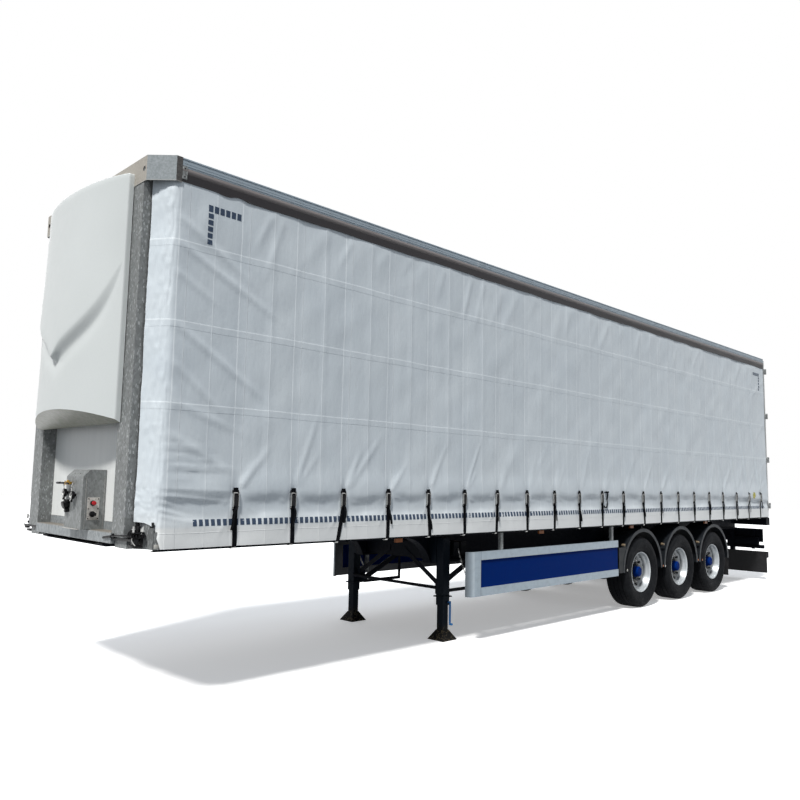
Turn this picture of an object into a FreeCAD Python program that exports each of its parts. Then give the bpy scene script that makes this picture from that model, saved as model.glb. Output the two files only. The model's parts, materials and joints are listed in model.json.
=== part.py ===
import FreeCAD, Part
import math
import os
import Sketcher
from FreeCAD import Placement, Rotation, Vector

# A three-axle curtain-sided semi trailer, standing on its landing legs.
#
# The frame is +X forward, +Y to the nearside (left) and +Z up, in millimetres, with the origin on the
# ground under the middle of the trailer's box. Lengthwise places are given as stations: distances
# behind the front face of the front wall, turned into X by station(), or by from_rear() for what
# keeps its distance from the rear end.

SIZES = {
    # overall
    "body_length": 13600,
    "body_width": 2550,
    "body_height": 4500,
    "deck_height": 1400,
    "floor_thickness": 28,
    # gooseneck main beams
    "beam_half_spacing": 600,
    "beam_flange_width": 120,
    "beam_flange": 14,
    "beam_web": 8,
    "beam_bottom": 870,
    "beam_front": 6,
    "neck_bottom": 1262,
    "neck_level_end": 2700,
    "neck_end": 3585,
    "neck_drop": 82,
    "neck_radius": 450,
    "tail_start_from_rear": 2000,
    "tail_end_from_rear": 1100,
    "tail_bottom": 1010,
    # cross members
    "member_height": 100,
    "member_width": 50,
    "member_wall": 5,
    "member_first": 480,
    "member_pitch": 660,
    # side raves
    "rave_bottom": 1245,
    "rave_web": 6,
    "rave_flange": 40,
    "rave_inset": 30,
    # coupling
    "kingpin_station": 1600,
    "kingpin_radius": 25.4,
    "kingpin_head_radius": 35.7,
    "kingpin_length": 84,
    "kingpin_collar": 35,
    "kingpin_neck": 35,
    "coupling_plate_thickness": 10,
    "coupling_plate_front": 40,
    "coupling_plate_rear": 2700,
    "coupling_plate_half_width": 660,
    # front wall
    "post_inner": 830,
    "post_outer": 1050,
    "post_depth": 134,
    "post_bottom": 1348,
    "bolster_bottom": 1262,
    "bolster_setback": 34,
    "corner_foot_top": 1470,
    "corner_return_top": 1432,
    "corner_foot_plate": 8,
    "front_panel_half_width": 1130,
    "header_height": 217,
    "header_depth": 230,
    "corner_chamfer": 176,
    "header_plate": 6,
    "header_hole_radius": 22,
    "front_rail_bottom": 1290,
    "front_ledge_plate": 6,
    "foot_angle_height": 72,
    "foot_angle_plate": 4,
    "panel_thickness": 26,
    # moulded air deflector
    "deflector_depth": 250,
    "deflector_top_depth": 170,
    "deflector_side": 46,
    "deflector_half_width": 880,
    "deflector_over_deck": 872,
    "deflector_top_drop": 105,
    "deflector_lip_rise": 138,
    "deflector_wall": 8,
    "shield_tip_drop": 1660,
    "shield_shoulder_drop": 940,
    "shield_depth": 34,
    # air and electric connection box
    "box_left": 390,
    "box_right": 30,
    "box_depth": 205,
    "box_height": 510,
    "box_chamfer": 60,
    # roof
    "cant_rail_height": 83,
    "cant_rail_width": 62,
    "bow_height": 40,
    "bow_width": 30,
    "bow_pitch": 620,
    "roof_sheet_thickness": 3,
    "valance_crown_height": 45,
    "valance_crown_bulge": 7,
    "valance_skirt": 3,
    "valance_height": 122,
    # curtains
    "curtain_thickness": 4,
    "curtain_bottom": 1265,
    "curtain_outside": 15,
    "curtain_lead": 72,
    "curtain_cut_station": 184,
    "curtain_cut_foot": 210,
    "curtain_cut_height": 1475,
    "curtain_cut_radius": 85,
    # strap fastenings
    "strap_first": 883,
    "strap_pitch": 607.3,
    "strap_count": 21,
    "strap_width": 46,
    "strap_thickness": 2,
    "buckle_bottom": 1564,
    "buckle_top": 1727,
    "buckle_thickness": 9,
    "hook_bottom": 1238,
    # curtain tensioners
    "tensioner_station": 104,
    "tensioner_standoff": 22,
    "tensioner_radius": 14,
    "ratchet_height": 1366,
    "ratchet_radius": 48,
    "ratchet_width": 42,
    "tension_lever_height": 1336,
    "tension_lever_inner": 800,
    "tension_lever_outer": 1190,
    # side pillars
    "pillar_depth": 90,
    # rear frame and sill
    "rear_post_depth": 75,
    "rear_post_width": 120,
    "rear_post_inset": 25,
    "rear_header_height": 180,
    "rear_header_drop": 20,
    "sill_bottom": 1095,
    "sill_lead": 50,
    # rear doors
    "hinge_inset": 13,
    "hinge_from_rear": 12,
    "hinge_radius": 11,
    "hinge_pin_radius": 6,
    "hinge_fit": 0.08,
    "hinge_to_door": 30,
    "door_thickness": 45,
    "door_edge_gap": 20,
    "door_middle_gap": 4,
    "door_seal": 8,
    "door_foot_gap": 17,
    "door_top_gap": 2,
    "hinge_height": 112,
    "hinge_knuckle": 60,
    "hinge_strap": 250,
    "hinge_plate": 8,
    "rod_radius": 13.5,
    "rod_standoff": 22,
    "rod_bottom": 1185,
    "rod_outer": 350,
    "rod_inner": 950,
    "rod_handle_height": 315,
    "rod_handle_length": 260,
    # landing legs
    "leg_station": 4090,
    "leg_half_spacing": 795,
    "leg_outer_size": 112,
    "leg_inner_size": 92,
    "leg_outer_bottom": 395,
    "leg_overlap": 350,
    "leg_top": 1180,
    "leg_collar_height": 490,
    "leg_collar_size": 158,
    "foot_height": 112,
    "foot_size": 250,
    "foot_top_size": 104,
    "leg_shaft_height": 590,
    "leg_shaft_radius": 19,
    "leg_bracket_half_length": 65,
    "brace_width": 65,
    "brace_thickness": 8,
    "brace_lug": 60,
    "brace_foot_height": 620,
    "brace_top_height": 1000,
    "brace_top_spread": 120,
    "stay_bottom": 500,
    "stay_height": 40,
    "stay_length": 660,
    "stay_inset": 15,
    "stay_thickness": 12,
    "crank_shaft_height": 430,
    "crank_drop": 260,
    "crank_grip_length": 40,
    # side guards
    "guard_front": 4060,
    "guard_rear": 7425,
    "guard_bottom": 530,
    "guard_top": 1040,
    "guard_rail_height": 97,
    "guard_rail_depth": 30,
    "guard_outside": 30,
    "guard_nose": 190,
    "guard_nose_radius": 80,
    "guard_panel_thickness": 6,
    "guard_bracket_first": 4685,
    "guard_bracket_pitch": 2630,
    "guard_bracket_width": 50,
    # axles, wheels and suspension
    "first_axle": 8190,
    "axle_pitch": 1310,
    "tyre_outside": 30,
    "tyre_radius": 530,
    "tyre_width": 380,
    "rim_radius": 286,
    "rim_flange_radius": 298,
    "rim_half_width": 150,
    "rim_wall": 7,
    "disc_radius": 175,
    "disc_thickness": 14,
    "hub_radius": 140,
    "hub_bore": 40,
    "spindle_gap": 0.3,
    "drum_radius": 212,
    "cap_radius": 78,
    "cap_end": 128,
    "axle_radius": 64,
    "spindle_length": 190,
    "chamber_radius": 78,
    "chamber_length": 210,
    "chamber_inset": 150,
    "arm_width": 90,
    "arm_pivot_ahead": 500,
    "arm_pivot_height": 640,
    "spring_behind": 400,
    "spring_radius": 145,
    "spring_bottom": 500,
    # mudguards and flaps
    "guard_arc_radius": 624,
    "guard_arc_height": 564,
    "guard_arc_wall": 6,
    "guard_arc_width": 390,
    "guard_arc_lip": 50,
    "guard_filler_reach": 735,
    "guard_filler_top": 930,
    "guard_filler_wall": 6,
    "flap_thickness": 6,
    "flap_bottom": 250,
    # underrun and lamps
    "underrun_bottom": 440,
    "underrun_top": 558,
    "underrun_from_rear": 45,
    "underrun_depth": 100,
    "underrun_half_width": 1210,
    "valance_bottom": 142,
    "lamp_board_bottom": 745,
    "lamp_board_top": 1011,
    "lamp_board_half_width": 1115,
    "lamp_board_depth": 30,
    "lamp_depth": 38,
    "lamp_length": 400,
    "lamp_height": 140,
    "lamp_inset": 20,
    "lamp_rise": 60,
    # air tanks
    "tank_radius": 118,
    "tank_length": 760,
    "tank_station": 5000,
    "tank_drop": 170,
    "tank_band": 4,
    "tank_band_width": 40,
    "valve_box_station": 4290,
    "valve_box_pitch": 130,
    "valve_box_size": 100,
    "valve_box_bottom": 960,
    "valve_box_height": 160,
    "valve_box_reach": 226,
}

doc = FreeCAD.newDocument("semi_trailer")
sheet = doc.addObject("Spreadsheet::Sheet", "sizes")
for row, (alias, value) in enumerate(SIZES.items(), start=1):
    sheet.set("A%d" % row, alias)
    sheet.set("B%d" % row, str(value))
    sheet.setAlias("B%d" % row, alias)
doc.recompute()


class Size:
    """A length that carries its value and the spreadsheet formula that gives it."""

    def __init__(self, value, formula):
        self.value = float(value)
        self.formula = formula

    def __float__(self):
        return self.value

    def joined(self, sign, other, value, swapped=False):
        """The two formulas with a sign between them, and the value that they give."""
        pair = [self.formula, formula_of(other)]
        if swapped:
            pair.reverse()
        return Size(value, "(%s %s %s)" % (pair[0], sign, pair[1]))

    def __add__(self, other):
        return self.joined("+", other, self.value + float(other))

    def __radd__(self, other):
        return self.joined("+", other, float(other) + self.value, True)

    def __sub__(self, other):
        return self.joined("-", other, self.value - float(other))

    def __rsub__(self, other):
        return self.joined("-", other, float(other) - self.value, True)

    def __mul__(self, other):
        return self.joined("*", other, self.value * float(other))

    def __rmul__(self, other):
        return self.joined("*", other, float(other) * self.value, True)

    def __truediv__(self, other):
        return self.joined("/", other, self.value / float(other))

    def __neg__(self):
        return Size(-self.value, "(0 - %s)" % self.formula)


def formula_of(size):
    """The formula of a size, or a bare number written out."""
    return size.formula if isinstance(size, Size) else repr(float(size))


def third_side(longest, other):
    """The remaining side of a right triangle."""
    value = math.sqrt(float(longest) ** 2 - float(other) ** 2)
    long_formula, other_formula = formula_of(longest), formula_of(other)
    return Size(value, "sqrt(%s * %s - %s * %s)" % (long_formula, long_formula, other_formula, other_formula))


def cell(alias):
    """The size kept in the spreadsheet under this alias."""
    return Size(sheet.get(alias), "sizes." + alias)


def bind(thing, path, size):
    """Ties one property of a document object to a size."""
    thing.setExpression(path, formula_of(size))


body_length = cell("body_length")
deflector_depth = cell("deflector_depth")
front_x = (body_length - deflector_depth) / 2
half_width = cell("body_width") / 2
roof_top = cell("body_height")
deck = cell("deck_height")
beam_top = deck - cell("floor_thickness")
beam_y = cell("beam_half_spacing")
SIDES = (("left", 1), ("right", -1))


def station(distance):
    """X of a plane this far behind the front face of the front wall."""
    return front_x - distance


def from_rear(distance):
    """X of a plane this far ahead of the rear end of the body."""
    return station(body_length - distance)


# the rear doors hang on pins at the rear end, and the rear frame stands just ahead of them
hinge_y = half_width - cell("hinge_inset")
hinge_x = from_rear(cell("hinge_from_rear"))
door_outer_x = hinge_x + cell("hinge_to_door")
door_inner_x = door_outer_x + cell("door_thickness")
post_rear_x = door_inner_x + cell("door_seal")
post_front_x = post_rear_x + cell("rear_post_depth")
sill_front_x = post_front_x + cell("sill_lead")


# ---------------------------------------------------------------- building blocks

def between(low, high, side=1):
    """A pair of limits across the trailer, mirrored to the right-hand side when side is -1."""
    return (low, high) if side > 0 else (-high, -low)


def box(name, xs, ys, zs):
    """A block between two planes on each axis."""
    block = doc.addObject("Part::Box", name)
    for path, (low, high) in (("Length", xs), ("Width", ys), ("Height", zs)):
        bind(block, path, high - low)
    for path, (low, high) in (("x", xs), ("y", ys), ("z", zs)):
        bind(block, "Placement.Base." + path, low)
    return block


TURN = {"x": Rotation(Vector(0, 1, 0), 90), "y": Rotation(Vector(1, 0, 0), -90), "z": Rotation()}


def rod(name, axis, start, radius, length):
    """A round bar from its start point along +X, +Y or +Z."""
    bar = doc.addObject("Part::Cylinder", name)
    bind(bar, "Radius", radius)
    bind(bar, "Height", length)
    bar.Placement = Placement(Vector(), TURN[axis])
    for path, value in zip("xyz", start):
        bind(bar, "Placement.Base." + path, value)
    return bar


def arc_edge(start, end, centre, turn):
    """An arc about a centre, and whether its own start is the start of travel."""
    middle = Vector(float(centre[0]), float(centre[1]), 0)
    first, last = (start, end) if turn > 0 else (end, start)
    radius = math.hypot(float(start[0]) - middle.x, float(start[1]) - middle.y)
    angles = [math.atan2(float(p[1]) - middle.y, float(p[0]) - middle.x) for p in (first, last)]
    return Part.ArcOfCircle(Part.Circle(middle, Vector(0, 0, 1), radius), *angles), turn > 0


def outline(body, plane, points, name="outline"):
    """A closed sketch whose corners are tied to the sheet.

    A corner is (a, b), reached by a straight line, or (a, b, (ca, cb), turn), reached by an arc
    about (ca, cb) that turns anticlockwise (+1) or clockwise (-1).
    """
    sketch = body.newObject("Sketcher::SketchObject", body.Name + "_" + name)
    support = [f for f in body.Origin.OriginFeatures if f.Role == plane][0]
    sketch.AttachmentSupport = [(support, "")]
    sketch.MapMode = "FlatFace"
    edges = []
    for index, point in enumerate(points):
        before = points[index - 1]
        if len(point) == 2:
            ends = [Vector(float(p[0]), float(p[1]), 0) for p in (before, point)]
            edges.append((sketch.addGeometry(Part.LineSegment(*ends)), 1, 2))
        else:
            arc, forward = arc_edge(before, point, point[2], point[3])
            edges.append((sketch.addGeometry(arc), 1, 2) if forward else (sketch.addGeometry(arc), 2, 1))

    def hold(kind, edge, position, size):
        number = sketch.addConstraint(Sketcher.Constraint(kind, -1, 1, edge, position, float(size)))
        sketch.setExpression("Constraints[%d]" % number, formula_of(size))

    for index, (edge, _, end) in enumerate(edges):
        following = edges[(index + 1) % len(edges)]
        sketch.addConstraint(Sketcher.Constraint("Coincident", edge, end, following[0], following[1]))
    for point, (edge, _, end) in zip(points, edges):
        flat, steep = True, True
        if len(point) > 2:
            reach = [abs(float(point[i]) - float(point[2][i])) for i in (0, 1)]
            flat, steep = reach[0] <= reach[1], reach[0] > reach[1]
            hold("DistanceX", edge, 3, point[2][0])
            hold("DistanceY", edge, 3, point[2][1])
        if flat:
            hold("DistanceX", edge, end, point[0])
        if steep:
            hold("DistanceY", edge, end, point[1])
    return sketch


PLANE_AXIS = {"XY_Plane": "z", "YZ_Plane": "x", "XZ_Plane": "y"}


def prism(name, plane, points, low, high):
    """A profile in a main plane, padded from low to high along that plane's axis."""
    body = doc.addObject("PartDesign::Body", name)
    pad = body.newObject("PartDesign::Pad", name + "_pad")
    pad.Profile = outline(body, plane, points)
    body.Tip = pad
    bind(pad, "Length", high - low)
    foot = high if plane == "XZ_Plane" else low
    bind(body, "Placement.Base." + PLANE_AXIS[plane], foot)
    return body


def turned(name, plane, points, place=(0, 0, 0)):
    """A profile of (radius, distance) turned about the plane's upright axis."""
    body = doc.addObject("PartDesign::Body", name)
    spin = body.newObject("PartDesign::Revolution", name + "_turn")
    spin.Profile = outline(body, plane, points)
    spin.ReferenceAxis = (spin.Profile[0], ["V_Axis"])
    spin.Angle = 360
    body.Tip = spin
    for path, value in zip("xyz", place):
        bind(body, "Placement.Base." + path, value)
    return body


def fused(name, pieces):
    """Pieces welded or moulded into one solid."""
    whole = doc.addObject("Part::MultiFuse", name)
    whole.Shapes = pieces
    return whole


def grouped(name, pieces):
    """Like pieces that stand apart, kept under one name."""
    group = doc.addObject("Part::Compound", name)
    group.Links = pieces
    return group


def cut(name, base, tool):
    """A solid with a tool's shape taken out of it."""
    rest = doc.addObject("Part::Cut", name)
    rest.Base = base
    rest.Tool = tool
    return rest


SUB_PARTS = {}


def sub_part(node, piece):
    """Names a finished sub-part and lists it for export."""
    piece.Label = node
    SUB_PARTS[node] = piece
    return piece


# ---------------------------------------------------------------- chassis

neck_bottom = cell("neck_bottom")
beam_bottom = cell("beam_bottom")
tail_bottom = cell("tail_bottom")


def beam_lower_line(lift):
    """The beam's lower edge from the front to the rear, raised by lift."""
    radius = cell("neck_radius")
    neck_end = cell("neck_end")
    bend_z = neck_bottom - cell("neck_drop") - radius
    sweep = third_side(radius + lift, beam_bottom + lift - bend_z)
    return [
        (station(cell("beam_front")), neck_bottom + lift),
        (station(cell("neck_level_end")), neck_bottom + lift),
        (station(neck_end), bend_z + radius + lift),
        (station(neck_end + sweep), beam_bottom + lift, (station(neck_end), bend_z), 1),
        (from_rear(cell("tail_start_from_rear")), beam_bottom + lift),
        (from_rear(cell("tail_end_from_rear")), tail_bottom + lift),
        (sill_front_x, tail_bottom + lift),
    ]


def reversed_line(points):
    """The same line travelled the other way, its arcs turning the other way too."""
    back = [points[-1][:2]]
    for index in range(len(points) - 1, 0, -1):
        target = points[index - 1][:2]
        if len(points[index]) > 2:
            target = target + (points[index][2], -points[index][3])
        back.append(target)
    return back


def main_beam(side_name, side, hangers):
    """One I-beam: a cut web, a bent lower flange, a straight upper one and its welded hangers."""
    middle = beam_y * side
    front = station(cell("beam_front"))
    rear = sill_front_x
    half_web = cell("beam_web") / 2
    half_flange = cell("beam_flange_width") / 2
    flange = cell("beam_flange")
    web_points = beam_lower_line(0) + [(rear, beam_top), (front, beam_top)]
    web = prism("web_" + side_name, "XZ_Plane", web_points, middle - half_web, middle + half_web)
    band = beam_lower_line(0) + reversed_line(beam_lower_line(flange))
    lower = prism("lower_flange_" + side_name, "XZ_Plane", band, middle - half_flange, middle + half_flange)
    upper = box("upper_flange_" + side_name, (rear, front), (middle - half_flange, middle + half_flange),
                (beam_top - flange, beam_top))
    return fused("beam_" + side_name, [web, lower, upper] + hangers)


def channel_points(x_front, z_top, width, height, wall):
    """A channel on edge, open to the rear, seen along Y."""
    return [
        (x_front, z_top),
        (x_front - width, z_top),
        (x_front - width, z_top - wall),
        (x_front - wall, z_top - wall),
        (x_front - wall, z_top - height + wall),
        (x_front - width, z_top - height + wall),
        (x_front - width, z_top - height),
        (x_front, z_top - height),
    ]


def cross_members():
    """Channels welded between the beam webs, and an outrigger from each web to its side rave."""
    pieces = []
    web_face = cell("beam_web") / 2
    outrigger_end = half_width - cell("rave_inset") - cell("rave_web")
    flange_edge = cell("beam_flange_width") / 2
    under_flange = beam_top - cell("beam_flange")
    over_flange = neck_bottom + cell("beam_flange")
    first, pitch = cell("member_first"), cell("member_pitch")
    count = int((float(station(first)) - float(sill_front_x)) / float(pitch)) + 1
    for number in range(count):
        x_front = station(first + pitch * number)
        points = channel_points(x_front, under_flange, cell("member_width"), under_flange - over_flange,
                                cell("member_wall"))
        pieces.append(prism("cross_member_%d" % number, "XZ_Plane", points,
                            -beam_y + web_face, beam_y - web_face))
        arm = channel_points(x_front, beam_top, cell("member_width"), cell("member_height"),
                             cell("member_wall"))
        for side_name, side in SIDES:
            low, high = between(beam_y + flange_edge, outrigger_end, side)
            pieces.append(prism("outrigger_%s_%d" % (side_name, number), "XZ_Plane", arm, low, high))
    return pieces


sub_part("cross_members", grouped("cross_members", cross_members()))

plate_top = neck_bottom
plate_bottom = plate_top - cell("coupling_plate_thickness")
sub_part("coupling_plate", box(
    "coupling_plate",
    (station(cell("coupling_plate_rear")), station(cell("coupling_plate_front"))),
    (-cell("coupling_plate_half_width"), cell("coupling_plate_half_width")),
    (plate_bottom, plate_top)))

pin = cell("kingpin_radius")
head = cell("kingpin_head_radius")
collar_foot = -cell("kingpin_collar")
neck_foot = collar_foot - cell("kingpin_neck")
pin_foot = -cell("kingpin_length")
sub_part("kingpin", turned("kingpin", "XZ_Plane", [
    (0, 0), (head + 9, 0), (head + 9, -8), (head, -12), (head, collar_foot), (pin, collar_foot),
    (pin, neck_foot), (head, neck_foot), (head, pin_foot + 4), (head - 4, pin_foot), (0, pin_foot),
], (station(cell("kingpin_station")), 0, plate_bottom)))

rave_outer = half_width - cell("rave_inset")
rave_bottom = cell("rave_bottom")
wall_back = cell("post_depth") + cell("panel_thickness")


def rave(side_name, side):
    """A side rail: a channel open inwards whose web closes the floor's edge."""
    inner = rave_outer - cell("rave_flange")
    web = cell("rave_web")
    points = [
        (rave_outer * side, rave_bottom), (rave_outer * side, deck), (inner * side, deck),
        (inner * side, deck - web), ((rave_outer - web) * side, deck - web),
        ((rave_outer - web) * side, rave_bottom + web), (inner * side, rave_bottom + web),
        (inner * side, rave_bottom),
    ]
    return prism("rave_" + side_name, "YZ_Plane", points, post_front_x, station(wall_back))


sub_part("side_raves", grouped("side_raves", [rave(*side) for side in SIDES]))

floor_edge = rave_outer - cell("rave_flange")
ledge_top = beam_top + cell("front_ledge_plate")
sub_part("load_floor", box("load_floor", (post_front_x, station(wall_back)),
                           (-floor_edge, floor_edge), (beam_top, deck)))

# ---------------------------------------------------------------- front wall

post_inner = cell("post_inner")
post_outer = cell("post_outer")
plate = cell("header_plate")
angle_front = station(cell("post_depth") - cell("foot_angle_plate"))
header_bottom = roof_top - cell("header_height")
header_top = roof_top
chamfer = cell("corner_chamfer")


def header_plan(inset):
    """The header seen from above: a wide front with chamfered corners, drawn in by inset."""
    rear = station(cell("header_depth"))
    side_edge = half_width - inset
    corner = half_width - chamfer - inset * 0.414
    return [
        (rear, -side_edge), (station(chamfer + inset * 0.414), -side_edge), (station(inset), -corner),
        (station(inset), corner), (station(chamfer + inset * 0.414), side_edge), (rear, side_edge),
    ]


def front_header():
    """A pressed header, open below and behind, with a round hole by each corner."""
    header = prism("front_header", "XY_Plane", header_plan(0), header_bottom, header_top)
    hollow = prism("header_hollow", "XY_Plane", header_plan(plate), header_bottom - 1, header_top - plate)
    shell = cut("header_shell", header, hollow)
    for side_name, side in SIDES:
        hole = rod("header_hole_" + side_name, "x",
                   (station(plate * 2), (half_width - chamfer - 45) * side, header_bottom + 110),
                   cell("header_hole_radius"), plate * 3)
        shell = cut("header_shell_" + side_name, shell, hole)
    return shell


def front_post(side_name, side):
    """A corner post: a channel open to the rear, its bolster, and the corner foot out to the rave."""
    front, back = station(plate), station(cell("post_depth"))
    foot = cell("post_bottom")
    points = [
        (front, post_inner * side), (front, post_outer * side), (back, post_outer * side),
        (back, (post_outer - plate) * side), (front - plate, (post_outer - plate) * side),
        (front - plate, (post_inner + plate) * side), (back, (post_inner + plate) * side),
        (back, post_inner * side),
    ]
    channel = prism("front_post_" + side_name, "XY_Plane", points, foot, header_top - plate)
    low, high = between(post_inner + plate * 2, post_outer, side)
    bolster = box("bolster_" + side_name, (back, station(cell("bolster_setback"))), (low, high),
                  (cell("bolster_bottom"), foot))
    return fused("corner_post_" + side_name, [channel, bolster] + corner_foot(side_name, side))


def corner_foot(side_name, side):
    """A level gusset beside the post, and the plate that closes the corner up to the rave's front end."""
    thick = cell("corner_foot_plate")
    low, top = cell("bolster_bottom"), cell("corner_foot_top")
    end = station(wall_back)
    bend_y = post_outer + 131
    gusset = prism("corner_gusset_" + side_name, "XY_Plane", [
        (station(80), post_outer * side), (end, (bend_y + 6) * side), (end, post_outer * side),
    ], low, low + thick)
    upright = prism("corner_plate_" + side_name, "XY_Plane", [
        (end + 21, (bend_y - 36) * side), (end + thick, bend_y * side), (end, bend_y * side),
        (end, (bend_y - 6) * side), (end + 14, (bend_y - 32) * side),
    ], low, top)
    low_y, high_y = between(bend_y - 6, rave_outer, side)
    closing = box("corner_return_" + side_name, (end, end + thick), (low_y, high_y),
                  (low, cell("corner_return_top")))
    return [gusset, upright, closing]


def front_rail():
    """The bottom rail: a front plate, a ledge back under the panel, and the angle at the panel's foot."""
    front, back = station(0), station(wall_back)
    low = cell("front_rail_bottom")
    panel_front = station(cell("post_depth"))
    angle_top = ledge_top + cell("foot_angle_height")
    points = [
        (front, low), (front, ledge_top), (angle_front, ledge_top), (angle_front, angle_top),
        (panel_front, angle_top), (panel_front, ledge_top), (back, ledge_top), (back, beam_top),
        (front - plate, beam_top), (front - plate, low),
    ]
    return prism("front_rail", "XZ_Plane", points, -post_inner, post_inner)


sub_part("front_header", front_header())
sub_part("front_posts", grouped("front_posts", [front_post(*side) for side in SIDES]))
sub_part("front_rail", front_rail())
sub_part("front_panel", box("front_panel", (station(wall_back), station(cell("post_depth"))),
                            (-cell("front_panel_half_width"), cell("front_panel_half_width")),
                            (ledge_top, header_bottom)))


def deflector_section(body, height, depth, inset, name):
    """One level cross-section of the deflector: straight sides and a bowed front."""
    half = cell("deflector_half_width") - inset
    back = station(0)
    edge = back + cell("deflector_side") - inset
    crown = back + depth - inset
    sagitta = crown - edge
    radius = (half * half + sagitta * sagitta) / (sagitta * 2)
    sketch = outline(body, "XY_Plane", [
        (back, -half), (edge, -half), (edge, half, (crown - radius, 0), 1), (back, half),
    ], name)
    bind(sketch, "AttachmentOffset.Base.z", height)
    return sketch


def deflector_loft(name, levels, inset):
    """A body lofted through level sections, each given as (height, depth)."""
    body = doc.addObject("PartDesign::Body", name)
    loft = body.newObject("PartDesign::AdditiveLoft", name + "_loft")
    sections = [deflector_section(body, z, depth, inset, "level_%d" % i)
                for i, (z, depth) in enumerate(levels)]
    loft.Profile = sections[0]
    loft.Sections = sections[1:]
    loft.Ruled = True
    body.Tip = loft
    return body


deflector_low = deck + cell("deflector_over_deck")


def deflector_mouth(name, lift):
    """What lies below the deflector's underside, which rises from the wall to the arched lip."""
    half = cell("deflector_half_width") + 10
    lip = deflector_low + cell("deflector_lip_rise") + 34
    ahead = station(-deflector_depth - 60)
    return prism(name, "XZ_Plane", [
        (station(1), deflector_low - 20), (station(1), deflector_low + lift), (ahead, lip + lift),
        (ahead, deflector_low - 20),
    ], -half, half)


def air_deflector():
    """A moulded shell open to the wall: a bowed lower part under a deeper V-shaped shield."""
    low, high = deflector_low, roof_top - cell("deflector_top_drop")
    wall = cell("deflector_wall")
    top_depth = cell("deflector_top_depth")
    step = cell("shield_depth")
    tip = roof_top - cell("shield_tip_drop")
    share = (high - tip) / (high - low)
    tip_depth = top_depth + (deflector_depth - top_depth) * share
    outer = deflector_loft("deflector_outer", [(low, deflector_depth), (high, top_depth)], 0)
    shield = deflector_loft("shield_outer", [(tip, tip_depth + step), (high, top_depth + step / 2)], 0)
    half = cell("deflector_half_width") + 10
    shoulder = roof_top - cell("shield_shoulder_drop")
    vee = prism("shield_vee", "YZ_Plane", [
        (0, tip), (half, shoulder), (half, high + 10), (-half, high + 10), (-half, shoulder),
    ], station(0), station(-deflector_depth * 2))
    raised = doc.addObject("Part::Common", "shield")
    raised.Base = shield
    raised.Tool = vee
    outside = fused("deflector_outside", [outer, raised])
    inside = deflector_loft("deflector_inside", [
        (low - 1, deflector_depth), (high - wall, top_depth)], wall)
    cavity = cut("deflector_cavity", inside, deflector_mouth("deflector_floor", wall))
    shell = cut("deflector_hollow", outside, cavity)
    return cut("deflector_shell", shell, deflector_mouth("deflector_mouth", 0))


sub_part("air_deflector", air_deflector())

box_front = station(cell("post_depth")) + cell("box_depth")
box_back = angle_front
box_foot = ledge_top


def coupling_box():
    """A folded cabinet on the ledge, its top edge chamfered at the front."""
    bevel = cell("box_chamfer")
    top = box_foot + cell("box_height")
    points = [
        (box_back, box_foot), (box_front, box_foot), (box_front, top - bevel),
        (box_front - bevel, top), (box_back, top),
    ]
    return prism("coupling_box", "XZ_Plane", points, cell("box_right"), cell("box_left"))


def coupling_fittings():
    """Two air cocks with levers, two electric sockets and two push buttons."""
    left, right = cell("box_left"), cell("box_right")
    middle = (left + right) / 2
    pieces = []
    for number, (offset, height) in enumerate(((-90, 420), (90, 400))):
        y, z = middle + offset, box_foot + height
        stem = rod("cock_%d" % number, "x", (box_front, y, z), 16, 34)
        lever = box("cock_lever_%d" % number, (box_front + 22, box_front + 34),
                    (y - 70, y + 20), (z + 12, z + 22))
        pieces.append(fused("air_cock_%d" % number, [stem, lever]))
    for number, (offset, height) in enumerate(((-90, 300), (60, 290), (-70, 210))):
        pieces.append(rod("socket_%d" % number, "x",
                          (box_front, middle + offset, box_foot + height), 34, 40))
    for number, height in enumerate((235, 90)):
        pieces.append(rod("button_%d" % number, "y", (box_back + 105, left, box_foot + height), 24, 22))
    return pieces


sub_part("coupling_box", coupling_box())
sub_part("coupling_fittings", grouped("coupling_fittings", coupling_fittings()))

# ---------------------------------------------------------------- roof

rail_front = station(cell("header_depth"))
rail_rear = post_front_x
rail_bottom = roof_top - cell("cant_rail_height")
rail_inner = half_width - cell("cant_rail_width")


def cant_rail(side_name, side):
    """An extruded side rail of the roof: a recess above the valance, a fluted band, a groove and a lip."""
    height = cell("cant_rail_height")
    across = [
        (8, 0), (8, 13), (0, 15), (0, 28), (4, 31), (4, 35), (0, 38), (0, 53), (9, 55), (9, 67), (0, 69),
        (0, height - 4), (4, height), (cell("cant_rail_width"), height), (cell("cant_rail_width"), 0),
    ]
    points = [((half_width - inward) * side, rail_bottom + up) for inward, up in across]
    return prism("cant_rail_" + side_name, "YZ_Plane", points, rail_rear, rail_front)


def roof_bows():
    """Square tubes across the roof, from rail to rail."""
    top = roof_top - 9 - cell("roof_sheet_thickness")
    pitch = cell("bow_pitch")
    count = int((float(rail_front) - float(rail_rear)) / float(pitch))
    pieces = []
    for number in range(count):
        x = station(cell("header_depth") + pitch * (number + 0.6))
        pieces.append(box("roof_bow_%d" % number, (x - cell("bow_width") / 2, x + cell("bow_width") / 2),
                          (-rail_inner, rail_inner), (top - cell("bow_height"), top)))
    return pieces


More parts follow.
